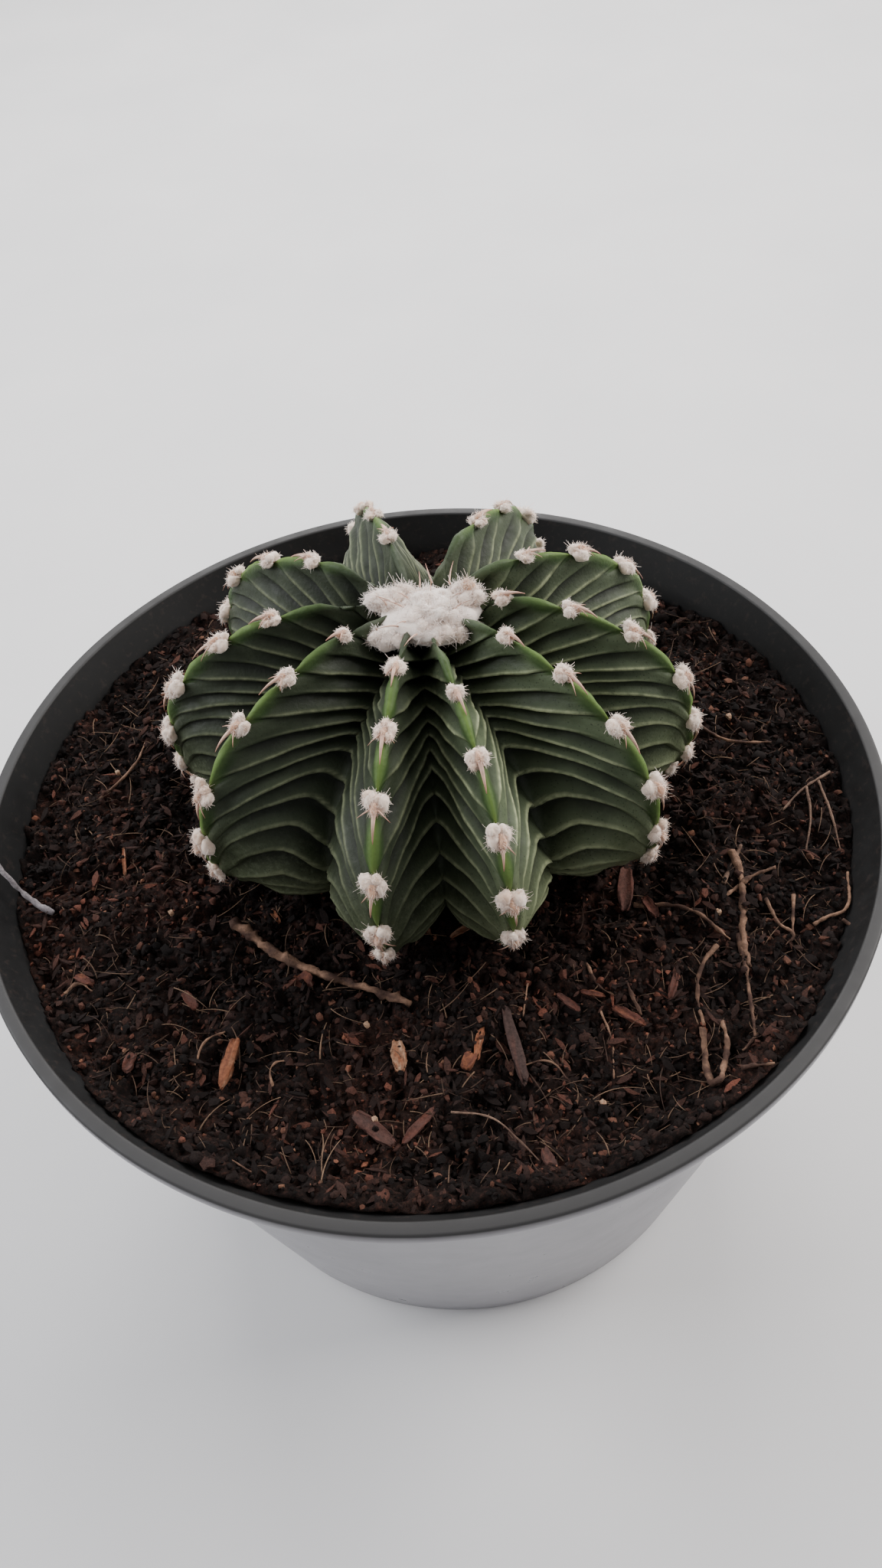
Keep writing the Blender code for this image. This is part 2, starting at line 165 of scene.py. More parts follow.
def smooth(low, high, value):
    share = np.clip((value - low) / (high - low), 0.0, 1.0)
    return share * share * (3.0 - 2.0 * share)


def mix(first, second, share):
    return first + (second - first) * share


def unit(vectors):
    return vectors / np.maximum(np.linalg.norm(vectors, axis=-1, keepdims=True), 1e-12)


def points_of(mesh):
    flat = np.empty(len(mesh.vertices) * 3, np.float32)
    mesh.vertices.foreach_get("co", flat)
    return flat.reshape(-1, 3).astype(float)


def move_points(mesh, points):
    mesh.vertices.foreach_set("co", np.asarray(points, np.float32).ravel())
    mesh.update()


def set_values(mesh, name, values):
    attribute = mesh.attributes.new(name, "FLOAT", "POINT")
    attribute.data.foreach_set("value", np.asarray(values, np.float32).ravel())


def rough(points, scale, octaves=3, seed=0.0):
    """Smooth noise from about -1 to 1 at each point, with lumps of this size in metres."""
    shift = Vector((seed, 1.7 * seed, -seed))
    return np.array([noise.fractal(Vector(p) / scale + shift, 1.0, 2.0, octaves) for p in points])


def to_mesh(shape, name):
    mesh = bpy.data.meshes.new(name)
    shape.to_mesh(mesh)
    shape.free()
    return mesh


def new_object(name, data):
    thing = bpy.data.objects.new(name, data)
    bpy.context.scene.collection.objects.link(thing)
    return thing


def mesh_of(thing):
    """The finished mesh of an object with a curve or a modifier. The object itself is dropped."""
    graph = bpy.context.evaluated_depsgraph_get()
    mesh = bpy.data.meshes.new_from_object(thing.evaluated_get(graph))
    bpy.data.objects.remove(thing)
    return mesh


def add_piece(name, mesh, material, nodes=(), sharp=None):
    mesh.materials.clear()
    mesh.materials.append(material)
    mesh.shade_smooth()
    if sharp is not None:
        mesh.set_sharp_from_angle(angle=radians(sharp))
    piece = new_object(name, mesh)
    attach(piece, "root")
    if nodes:
        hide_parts(*nodes)


def ringed_mesh(name, columns, rings):
    """A closed ball of rings, and the ring and column of each of its points, for formulas to move."""
    shape = bmesh.new()
    bmesh.ops.create_grid(shape, x_segments=columns, y_segments=rings, size=0.5)
    for vertex in shape.verts:
        turn = tau * (round((vertex.co.x + 0.5) * columns) % columns) / columns
        rise = pi * (round((vertex.co.y + 0.5) * rings) / rings - 0.5)
        across = max(cos(rise), 0.0)
        vertex.co = (across * cos(turn), across * sin(turn), sin(rise))
    bmesh.ops.remove_doubles(shape, verts=shape.verts, dist=1e-5)
    bmesh.ops.recalc_face_normals(shape, faces=shape.faces)
    mesh = to_mesh(shape, name)
    points = points_of(mesh)
    latitude = np.arctan2(points[:, 2], np.hypot(points[:, 0], points[:, 1]))
    ring = np.rint((latitude / pi + 0.5) * rings).astype(int)
    turn = np.arctan2(points[:, 1], points[:, 0]) / tau
    column = np.rint(turn * columns).astype(int) % columns
    column[(ring == 0) | (ring == rings)] = 0
    return mesh, ring, column


def copies(shape, count):
    """Fills the bmesh with this many copies of the one shape in it, and gives it back as a mesh."""
    each = len(shape.verts)
    made = 1
    while made < count:
        more = min(made, count - made)
        corners = list(shape.verts)[:each * more]
        edges = {edge for corner in corners for edge in corner.link_edges}
        faces = {face for corner in corners for face in corner.link_faces}
        bmesh.ops.duplicate(shape, geom=corners + list(edges) + list(faces))
        made += more
    return to_mesh(shape, "copies"), each


def towards(bearing):
    """Unit vectors in x and y that point along these bearings, in radians."""
    return np.stack([np.cos(bearing), np.sin(bearing)], -1)


def frames_along(directions):
    """Two unit vectors across each direction."""
    helper = np.where(np.abs(directions[:, 2:3]) < 0.9, (0.0, 0.0, 1.0), (1.0, 0.0, 0.0))
    first = unit(np.cross(directions, helper))
    return first, np.cross(directions, first)


def strands(roots, directions, lengths, radii, bends, sides=3, segments=3, tip=0.2):
    """Hairs, spines or fibres: thin tapered rods that start at the roots and bend away as they go."""
    shape = bmesh.new()
    bmesh.ops.create_cone(shape, cap_ends=True, segments=sides, radius1=1.0, radius2=1.0, depth=1.0,
                          matrix=Matrix.Translation((0, 0, 0.5)))
    upright = [e for e in shape.edges if abs(e.verts[0].co.z - e.verts[1].co.z) > 0.5]
    bmesh.ops.subdivide_edges(shape, edges=upright, cuts=segments - 1)
    count = len(roots)
    mesh, each = copies(shape, count)
    points = points_of(mesh).reshape(count, each, 3)
    directions = unit(directions)
    first, second = frames_along(directions)
    along = points[:, :, 2:3]
    thick = mix(1.0, tip, along ** 1.5) * radii[:, None, None]
    placed = (roots[:, None] + directions[:, None] * along * lengths[:, None, None]
              + (first[:, None] * points[:, :, 0:1] + second[:, None] * points[:, :, 1:2]) * thick
              + bends[:, None] * along ** 2)
    move_points(mesh, placed.reshape(-1, 3))
    set_values(mesh, "along", along)
    return mesh, each


def joined(name, meshes):
    """One mesh of several, which are then dropped."""
    shape = bmesh.new()
    for mesh in meshes:
        shape.from_mesh(mesh)
        bpy.data.meshes.remove(mesh)
    return to_mesh(shape, name)


def turned(angle, spread, chance):
    """Random turns: one 3 x 3 matrix for each angle, about z, then tipped by up to the spread."""
    c, s = np.cos(angle), np.sin(angle)
    zero, one = np.zeros_like(c), np.ones_like(c)
    about_z = np.stack([c, -s, zero, s, c, zero, zero, zero, one], -1).reshape(-1, 3, 3)
    tip = chance.uniform(-spread, spread, len(angle))
    c, s = np.cos(tip), np.sin(tip)
    about_x = np.stack([one, zero, zero, zero, c, -s, zero, s, c], -1).reshape(-1, 3, 3)
    return about_z @ about_x


# Materials


def new_material(name, roughness, specular, more=()):
    """A material and its nodes, with plain values for some sockets of its shader."""
    material = bpy.data.materials.new(name)
    material.use_nodes = True
    tree = material.node_tree
    sockets = {"Roughness": roughness, "Specular IOR Level": specular, **dict(more)}
    for socket, value in sockets.items():
        tree.nodes["Principled BSDF"].inputs[socket].default_value = value
    return material, tree


def feed(tree, socket, value):
    if isinstance(value, bpy.types.NodeSocket):
        tree.links.new(value, socket)
    elif isinstance(value, tuple):
        socket.default_value = (*value, 1.0)
    else:
        socket.default_value = value


def place_socket(tree, stretch=None):
    place = tree.nodes.new("ShaderNodeTexCoord").outputs["Object"]
    if stretch is None:
        return place
    mapping = tree.nodes.new("ShaderNodeMapping")
    mapping.inputs["Scale"].default_value = stretch
    feed(tree, mapping.inputs["Vector"], place)
    return mapping.outputs["Vector"]


def lumps(tree, size, detail=3.0, roughness=0.55, stretch=None):
    """Noise whose lumps are about this many metres across."""
    node = tree.nodes.new("ShaderNodeTexNoise")
    node.inputs["Scale"].default_value = 1.0 / size
    node.inputs["Detail"].default_value = detail
    node.inputs["Roughness"].default_value = roughness
    feed(tree, node.inputs["Vector"], place_socket(tree, stretch))
    return node.outputs["Fac"]


def cells(tree, size):
    node = tree.nodes.new("ShaderNodeTexVoronoi")
    node.inputs["Scale"].default_value = 1.0 / size
    feed(tree, node.inputs["Vector"], place_socket(tree))
    return node.outputs["Distance"]


def value_of(tree, name):
    node = tree.nodes.new("ShaderNodeAttribute")
    node.attribute_name = name
    return node.outputs["Fac"]


def ramp(tree, value, *stops):
    node = tree.nodes.new("ShaderNodeValToRGB")
    band = node.color_ramp
    while len(band.elements) < len(stops):
        band.elements.new(0.5)
    for element, (place, colour) in zip(band.elements, stops):
        element.position = place
        element.color = (*colour, 1.0) if isinstance(colour, tuple) else (colour, colour, colour, 1.0)
    feed(tree, node.inputs["Fac"], value)
    return node.outputs["Color"]


def mottled(tree, size, *stops, **noise_look):
    """Noise in lumps of this size, spread over the colours or values of the stops."""
    return ramp(tree, lumps(tree, size, **noise_look), *stops)


def blended(tree, factor, first, second, kind="MIX"):
    node = tree.nodes.new("ShaderNodeMix")
    node.data_type = "RGBA"
    node.blend_type = kind
    feed(tree, node.inputs[0], factor)
    feed(tree, node.inputs[6], first)
    feed(tree, node.inputs[7], second)
    return node.outputs[2]


def tinted(tree, colour, tint):
    return blended(tree, 1.0, colour, tint, "MULTIPLY")


def times(tree, first, second):
    node = tree.nodes.new("ShaderNodeMath")
    node.operation = "MULTIPLY"
    feed(tree, node.inputs[0], first)
    feed(tree, node.inputs[1], second)
    return node.outputs[0]


def paint(tree, value, socket="Base Color"):
    feed(tree, tree.nodes["Principled BSDF"].inputs[socket], value)


def bumped(tree, distance, *lump_look):
    """Fine relief of this depth, in lumps of the size, detail and roughness that follow."""
    node = tree.nodes.new("ShaderNodeBump")
    node.inputs["Strength"].default_value = 1.0
    node.inputs["Distance"].default_value = distance
    feed(tree, node.inputs["Height"], lumps(tree, *lump_look))
    paint(tree, node.outputs["Normal"], "Normal")


def skin_material():
    """Grey-green skin: paler at the foot and green on the ridges, with painted shade across each fold,
    darkest in the groove under its lip, and a painted highlight along each fold's crest.
    """
    material, tree = new_material("cactus_skin", 0.5, 0.22)
    low = value_of(tree, "low")
    tone = ramp(tree, value_of(tree, "tone"), (0.0, 0.35), (1.0, 2.0))
    dark = mottled(tree, 4 * MM, (0.3, (0.0225, 0.030, 0.0155)), (0.7, (0.048, 0.061, 0.033)))
    pale = mottled(tree, 2.5 * MM, (0.3, (0.056, 0.068, 0.032)), (0.7, (0.115, 0.130, 0.072)))
    colour = blended(tree, low, dark, pale)
    # Painted shade: rise darkens each fold just under the lip above and lightens it towards its own crest.
    shade = ramp(tree, value_of(tree, "rise"), (0.0, 0.0), (1.0, 1.0))
    colour = blended(tree, 0.88, colour, tinted(tree, colour, shade))
    colour = tinted(tree, colour, tone)
    streaks = mottled(tree, 0.5 * MM, (0.50, 0.0), (0.68, 1.0), detail=4.0, roughness=0.7)
    streaks = times(tree, streaks, times(tree, low, 0.4))
    colour = blended(tree, streaks, colour, (0.20, 0.23, 0.15))
    specks = times(tree, ramp(tree, cells(tree, 0.42 * MM), (0.10, 1.0), (0.26, 0.0)), 0.6)
    colour = blended(tree, specks, colour, (0.014, 0.018, 0.010))
    green = mottled(tree, 1.5 * MM, (0.3, (0.016, 0.036, 0.008)), (0.7, (0.032, 0.062, 0.015)))
    colour = blended(tree, value_of(tree, "green"), colour, green)
    # Painted shadow: the groove under each fold's lip is painted near black.
    groove_shadow = times(tree, value_of(tree, "groove_shadow"), 0.8)
    colour = blended(tree, groove_shadow, colour, (0.008, 0.010, 0.006))
    # Painted highlight: a pale line along each fold's crest, where light catches the lip.
    crest_highlight = times(tree, value_of(tree, "crest_highlight"), mottled(tree, 0.8 * MM, (0.3, 0.35), (0.62, 1.0)))
    colour = blended(tree, crest_highlight, colour, tinted(tree, (0.178, 0.196, 0.112), tone))
    colour = blended(tree, value_of(tree, "edge"), colour, (0.142, 0.230, 0.050))
    paint(tree, colour)
    paint(tree, mottled(tree, 0.9 * MM, (0.3, 0.50), (0.7, 0.68)), "Roughness")
    bumped(tree, 0.06 * MM, 0.35 * MM, 4.0, 0.6)
    return material


WOOL_SOCKETS = {
    "Sheen Weight": 0.55,
    "Sheen Roughness": 0.6,
    "Subsurface Weight": 0.4,
    "Subsurface Scale": 0.8 * MM,
    "Subsurface Radius": (1.0, 0.9, 0.82),
}


def woolly_material(name, grain, *stops):
    """Matt wool that light sinks into. The stops run from its pale outside to its warm middle."""
    material, tree = new_material(name, 0.95, 0.15, WOOL_SOCKETS)
    shade = mottled(tree, grain, (0.3, 0.92), (0.65, 1.0), detail=4.0)
    paint(tree, tinted(tree, ramp(tree, value_of(tree, "warm"), *stops), shade))
    bumped(tree, 0.06 * MM, 0.15 * MM, 4.0, 0.7)
    return material


def spine_material():
    material, tree = new_material("spine", 0.45, 0.4)
    colour = ramp(tree, value_of(tree, "along"), (0.0, (0.50, 0.29, 0.21)), (0.4, (0.64, 0.42, 0.32)),
                  (1.0, (0.42, 0.20, 0.14)))
    shade = mottled(tree, 1.2 * MM, (0.3, 0.7), (0.7, 1.1))
    paint(tree, tinted(tree, colour, shade))
    return material


def patchy(tree, colour):
    """Peat is damp and black in some patches and dry and reddish in others."""
    patches = mottled(tree, 10 * MM, (0.36, (0.62, 0.60, 0.60)), (0.50, (1.0, 1.0, 1.0)),
                      (0.64, (1.75, 1.42, 1.30)), roughness=0.6)
    return tinted(tree, colour, patches)


def peat_material():
    material, tree = new_material("peat", 0.95, 0.12)
    grain = mottled(tree, 0.6 * MM, (0.30, (0.0038, 0.0026, 0.0023)), (0.52, (0.012, 0.0072, 0.0060)),
                    (0.70, (0.044, 0.0205, 0.0155)), detail=6.0, roughness=0.7)
    paint(tree, patchy(tree, grain))
    bumped(tree, 0.25 * MM, 0.3 * MM, 6.0, 0.7)
    return material


def crumb_material():
    """Peat crumbs, each with its own tone from near black to tan."""
    material, tree = new_material("peat_crumbs", 0.92, 0.15)
    tone = ramp(tree, value_of(tree, "tone"), (0.0, (0.005, 0.0032, 0.0028)),
                (0.45, (0.0125, 0.0078, 0.0068)), (0.72, (0.034, 0.0175, 0.014)),
                (0.88, (0.082, 0.034, 0.024)), (1.0, (0.18, 0.09, 0.055)))
    grain = mottled(tree, 0.2 * MM, (0.3, 0.45), (0.7, 1.5), detail=5.0, roughness=0.7)
    paint(tree, patchy(tree, tinted(tree, tone, grain)))
    bumped(tree, 0.08 * MM, 0.12 * MM, 4.0, 0.7)
    return material


def dry_material(name, *tones):
    """Dry plant matter, each piece in its own tone."""
    material, tree = new_material(name, 0.85, 0.2)
    tone = ramp(tree, value_of(tree, "tone"), *tones)
    grain = mottled(tree, 0.4 * MM, (0.3, 0.55), (0.7, 1.35), detail=5.0, roughness=0.65)
    paint(tree, tinted(tree, tone, grain))
    bumped(tree, 0.08 * MM, 0.2 * MM, 4.0, 0.6)
    return material


def pot_material():
    """Dark plastic: half-glossy on the outside under grey dust and a painted reflection of the bright bench;
    inside, painted shade turns it near black, with specks of soil.
    """
    material, tree = new_material("pot_plastic", 0.6, 0.42)
    outside = value_of(tree, "outside")
    inside = value_of(tree, "inside")
    base = mottled(tree, 30 * MM, (0.3, (0.021, 0.020, 0.020)), (0.7, (0.025, 0.024, 0.024)))
    # Partly real grey dust, partly a painted reflection of the bright bench: only the outer wall below the
    # lip is lightened.
    dust_and_reflection = mottled(tree, 9 * MM, (0.25, 0.47), (0.75, 0.60), detail=6.0, roughness=0.6)
    colour = blended(tree, times(tree, outside, dust_and_reflection), base, (0.375, 0.368, 0.400))
    scuff = mottled(tree, 1.2 * MM, (0.70, 0.0), (0.80, 1.0), detail=5.0, roughness=0.7,
                    stretch=(1.0, 1.0, 0.35))
    scuff = times(tree, times(tree, scuff, outside), 0.08)
    colour = blended(tree, scuff, colour, (0.50, 0.50, 0.50))
    # Painted shade: the inside of the wall is painted near black.
    colour = blended(tree, inside, colour, (0.004, 0.0038, 0.004))
    soil = mottled(tree, 1.0 * MM, (0.55, 0.0), (0.66, 0.8), detail=5.0, roughness=0.7)
    colour = blended(tree, times(tree, inside, soil), colour, (0.020, 0.014, 0.012))
    paint(tree, colour)
    dull = mottled(tree, 3 * MM, (0.3, 0.55), (0.7, 0.70), detail=5.0, roughness=0.6)
    glossy = mottled(tree, 5 * MM, (0.3, 0.27), (0.7, 0.33), detail=5.0, roughness=0.6)
    paint(tree, blended(tree, outside, dull, glossy), "Roughness")
    bumped(tree, 0.006 * MM, 1.5 * MM)
    return material


def floor_material():
    material, tree = new_material("pale_bench", 0.55, 0.3)
    colour = mottled(tree, 60 * MM, (0.3, (0.605, 0.60, 0.605)), (0.7, (0.655, 0.645, 0.645)), detail=4.0)
    paint(tree, colour)
    return material


# Pot


def outer_wall(height):
    share = height / (RIM_HEIGHT - LIP_HEIGHT)
    return mix(FOOT_RADIUS, RIM_RADIUS - LIP_OVERHANG, share)


def arc(centre, radius, start, end, steps):
    turns = np.radians(np.linspace(start, end, steps + 1))
    return [(centre[0] + radius * cos(t), centre[1] + radius * sin(t)) for t in turns]


def pot_outline():
    """(radius, height) points from under the floor, up the outside, over the flat lip and down inside."""
    lip_foot = RIM_HEIGHT - LIP_HEIGHT
    floor = FOOT_HEIGHT + WALL
    under_lip = lip_foot - COVE
    corner = floor + FLOOR_FILLET
    outside = np.linspace(0.6 * MM, under_lip, WALL_RINGS)
    inside = np.linspace(under_lip, corner, WALL_RINGS)
    points = [(0.0, FOOT_HEIGHT), (FOOT_RADIUS - FOOT_WIDTH - 0.8 * MM, FOOT_HEIGHT)]
    points += [(FOOT_RADIUS - FOOT_WIDTH, 0.0)]
    points += arc((FOOT_RADIUS - FOOT_EDGE, FOOT_EDGE), FOOT_EDGE, -90, 0, 4)
    points += [(outer_wall(h), h) for h in outside]
    points += arc((RIM_RADIUS - LIP_FOOT_EDGE, lip_foot + LIP_FOOT_EDGE), LIP_FOOT_EDGE, -70, 0, 4)
    points += arc((RIM_RADIUS - LIP_EDGE, RIM_HEIGHT - LIP_EDGE), LIP_EDGE, 4, 86, 6)
    points += arc((RIM_RADIUS - LIP_WIDTH + LIP_EDGE, RIM_HEIGHT - LIP_EDGE), LIP_EDGE, 94, 176, 6)
    points += [(outer_wall(h) - WALL, h) for h in inside]
    points += arc((outer_wall(floor) - WALL - FLOOR_FILLET, corner), FLOOR_FILLET, -8, -90, 5)
    points += [(0.0, floor)]
    return points


def make_pot(material):
    shape = bmesh.new()
    spots = [shape.verts.new((radius, 0.0, height)) for radius, height in pot_outline()]
    edges = [shape.edges.new(pair) for pair in zip(spots, spots[1:])]
    bmesh.ops.spin(shape, geom=spots + edges, axis=(0, 0, 1), cent=(0, 0, 0),
                   angle=tau, steps=POT_STEPS, use_merge=True)
    bmesh.ops.remove_doubles(shape, verts=shape.verts, dist=1e-6)
    bmesh.ops.recalc_face_normals(shape, faces=shape.faces)
    blank = new_object("pot_blank", to_mesh(shape, "pot_blank"))
    plugs = bmesh.new()
    for number in range(HOLE_COUNT):
        turn = Matrix.Rotation(tau * number / HOLE_COUNT, 4, "Z")
        middle = Matrix.Translation((HOLE_RING_RADIUS, 0.0, FOOT_HEIGHT + WALL / 2))
        bmesh.ops.create_cone(plugs, cap_ends=True, segments=32, radius1=HOLE_RADIUS,
                              radius2=HOLE_RADIUS, depth=3 * WALL, matrix=turn @ middle)
    drill = new_object("pot_drill", to_mesh(plugs, "pot_drill"))
    cut = blank.modifiers.new("drainage", "BOOLEAN")
    cut.operation = "DIFFERENCE"
    cut.object = drill
    mesh = mesh_of(blank)
    bpy.data.objects.remove(drill)

    # The soft wall is a little out of round
    points = points_of(mesh)
    bearing = np.arctan2(points[:, 1], points[:, 0])
    across = np.hypot(points[:, 0], points[:, 1])
    height = points[:, 2]
    tall = np.clip(height / RIM_HEIGHT, 0.0, 1.0)
    wave = (np.sin(3 * bearing + 0.7) + 0.5 * np.sin(7 * bearing + 2.0)
            + 0.3 * np.sin(13 * bearing)) * WALL_WAVE * tall * 0.6
    wave = np.where(across > HOLE_RING_RADIUS + 2 * HOLE_RADIUS, wave, 0.0)
    points[:, :2] += towards(bearing) * (wave - WALL_WAVE * tall)[:, None]
    move_points(mesh, points)

    wall_middle = np.where(height > RIM_HEIGHT - LIP_HEIGHT - COVE / 2, RIM_RADIUS - LIP_WIDTH / 2,
                           outer_wall(height) - WALL / 2)
    below_lip = 1.0 - smooth(RIM_HEIGHT - 2 * LIP_EDGE, RIM_HEIGHT - 0.4 * LIP_EDGE, height)
    below_edge = 1.0 - smooth(RIM_HEIGHT - LIP_EDGE, RIM_HEIGHT, height)
    # outside marks the outer wall, which the material lightens with dust and a painted reflection of the
    # bench.
    set_values(mesh, "outside", (across > wall_middle) * below_lip)
    # inside marks the inner wall, which the material paints near black as painted shade.
    set_values(mesh, "inside", (across < wall_middle) * below_edge)
    add_piece("nursery_pot", mesh, material, ["pot"], sharp=45)


# Potting mix


def level(x, y):
    """Height of the mix before its crumbs, at arrays of places."""
    bearing = np.arctan2(y, x)
    edge = np.minimum(1.0, np.hypot(x, y) / RIM_RADIUS)
    height = RIM_HEIGHT - FILL_BELOW_RIM + SIDES_RISE * edge * edge * np.cos(2 * bearing)
    hollow = np.hypot(x - HOLLOW_PLACE[0], y - HOLLOW_PLACE[1]) / HOLLOW_WIDTH
    height = height - HOLLOW_DEPTH * np.exp(-hollow * hollow)
    away = np.hypot(x - PLANT_AXIS[0], y - PLANT_AXIS[1])
    around = np.degrees(np.arctan2(y - PLANT_AXIS[1], x - PLANT_AXIS[0]))
    spread = np.exp(-((around - CRUST_BEARING) / CRUST_SPREAD) ** 2)
    height = height + spread * (CRUST_RISE * np.exp(-((away - CRUST_RADIUS) / (2.0 * MM)) ** 2)
                                - CRUST_DIP * np.exp(-((away - CRUST_RADIUS + 4.0 * MM) / (2.2 * MM)) ** 2))
    front = smooth(0.35, 0.85, -np.sin(bearing))
    height = height + BANK_RISE * front * smooth(45.0 * MM, bed_edge() + MM, np.hypot(x, y))
    dish = smooth(DISH_INNER, DISH_OUTER, away)
    return mix(RIM_HEIGHT - DISH_BELOW_RIM, height, dish)


def bed_height(x, y):
    """Height of the mix with its lumps of three sizes."""
    flat = np.stack([x, y, np.zeros_like(x)], -1).reshape(-1, 3)
    coarse = rough(flat, 7.0 * MM, 2, 3.0).reshape(x.shape)
    clump = np.abs(rough(flat, 2.6 * MM, 2, 9.0).reshape(x.shape))
    crumb = np.abs(rough(flat, 1.0 * MM, 3, 17.0).reshape(x.shape))
    return level(x, y) + MM * (1.2 * coarse - 1.9 * (clump - 0.3) - 0.9 * (crumb - 0.25))


def bed_edge():
    return outer_wall(RIM_HEIGHT - FILL_BELOW_RIM) - WALL - BED_GAP


def inner_wall(height):
    """The pot's inner radius at a height near the lip."""
    under_lip = RIM_HEIGHT - LIP_HEIGHT - COVE
    flare = np.clip((height - under_lip) / (RIM_HEIGHT - LIP_EDGE - under_lip), 0.0, 1.0)
    wall = outer_wall(np.minimum(height, under_lip)) - WALL
    return mix(wall, RIM_RADIUS - LIP_WIDTH, flare)


def reach_of_bed(bearing):
    """Radius at which the top of the mix meets the wall."""
    edge = towards(bearing) * bed_edge()
    return inner_wall(level(edge[:, 0], edge[:, 1]))


def make_bed(material):
    mesh, ring, column = ringed_mesh("peat_bed", BED_COLUMNS, BED_RINGS)
    bearing = column * tau / BED_COLUMNS
    low = FOOT_HEIGHT + WALL + 0.3 * MM
    share = np.clip((ring - 2) / (BED_RINGS - 2), 0.0, 1.0)
    across = (reach_of_bed(bearing) - BED_GAP) * (1.0 - share)
    z = bed_height(across * np.cos(bearing), across * np.sin(bearing))
    foot = outer_wall(low) - WALL - FLOOR_FILLET - 0.3 * MM
    across = np.where(ring == 1, foot, np.where(ring == 0, 0.0, across))
    z = np.where(ring <= 1, low, z)
    move_points(mesh, np.concatenate([towards(bearing) * across[:, None], z[:, None]], 1))
    add_piece("peat_bed", mesh, material, ["potting_mix"])


def spots_on_bed(count, chance, margin, clear=CLEAR_OF_PLANT):
    """Random places on the mix, none of them far under the plant."""
    found = np.zeros((0, 2))
    while len(found) < count:
        turn = chance.uniform(0, tau, 2 * count)
        across = (reach_of_bed(turn) - margin) * np.sqrt(chance.uniform(0, 1, 2 * count))
        spots = towards(turn) * across[:, None]
        found = np.concatenate([found, spots[np.linalg.norm(spots - PLANT_AXIS, axis=1) > clear]])
    return found[:count]


def scatter(mesh, points, chance, tip, margin, lift):
    """Turns each copy in the mesh at random, tips it by up to this much and lays it on the mix."""
    count = len(points)
    turns = turned(chance.uniform(0, tau, count), tip, chance)
    spots = spots_on_bed(count, chance, margin)
    height = bed_height(spots[:, 0], spots[:, 1]) + lift
    places = np.concatenate([spots, height[:, None]], 1)
    move_points(mesh, (np.einsum("nij,nkj->nki", turns, points) + places[:, None]).reshape(-1, 3))


def give_tones(mesh, tones, shares):
    """Gives each copy in the mesh one tone: a share of the way from the first tone to the second."""
    each = len(mesh.vertices) // len(shares)
    set_values(mesh, "tone", np.repeat(mix(*tones, shares), each))


def make_crumbs(name, count, sizes, faces, material, seed, sink=0.25, tones=(0.0, 1.0)):
    """Loose crumbs, each a ball of 20 or 80 faces pushed out of shape and sunk by a share of its size."""
    chance = np.random.default_rng(seed)
    coarse = faces == 20
    shape = bmesh.new()
    bmesh.ops.create_icosphere(shape, subdivisions=1 if coarse else 2, radius=0.5)
    mesh, each = copies(shape, count)
    points = points_of(mesh).reshape(count, each, 3)
    push = 0.36 if coarse else 0.28
    points *= 1.0 + chance.uniform(-push, push, (count, each, 1))
    size = sizes[0] * (sizes[1] / sizes[0]) ** (chance.uniform(0, 1, count) ** 1.6)
    stretch = chance.uniform(0.6, 1.35, (count, 1, 3)) * (1.0, 1.0, 0.8)
    points = points * stretch * size[:, None, None]
    scatter(mesh, points, chance, 0.6, 0.5 * MM, size * (0.5 - sink) * 0.6)
    give_tones(mesh, tones, chance.uniform(0, 1, count) ** 1.7)
    add_piece(name, mesh, material, sharp=50 if coarse else None)


def make_slivers(name, count, lengths, material, seed, tones):
    """Flat splinters of bark and wood lying any way round."""
    chance = np.random.default_rng(seed)
    shape = bmesh.new()
    bmesh.ops.create_cube(shape, size=1.0)
    long_edges = [e for e in shape.edges if abs(e.verts[0].co.x - e.verts[1].co.x) > 0.5]
    bmesh.ops.subdivide_edges(shape, edges=long_edges, cuts=2)
    mesh, each = copies(shape, count)
    points = points_of(mesh).reshape(count, each, 3)
    length = chance.uniform(*lengths, count)
    breadth = length * chance.uniform(0.12, 0.38, count)
    size = np.stack([length, breadth, breadth * 0.4], -1)
    narrow = 1.0 - 0.75 * (2.0 * np.abs(points[:, :, 0:1])) ** 3
    points[:, :, 1:] *= narrow
    points *= 1.0 + chance.uniform(-0.15, 0.15, points.shape)
    points = points * size[:, None]
    points[:, :, 1] += (points[:, :, 0] ** 2) * chance.uniform(-120, 120, (count, 1))
    scatter(mesh, points, chance, 0.5, 0.6 * length.max(), 0.2 * MM)
    give_tones(mesh, tones, chance.uniform(0, 1, count))
    add_piece(name, mesh, material, sharp=40)


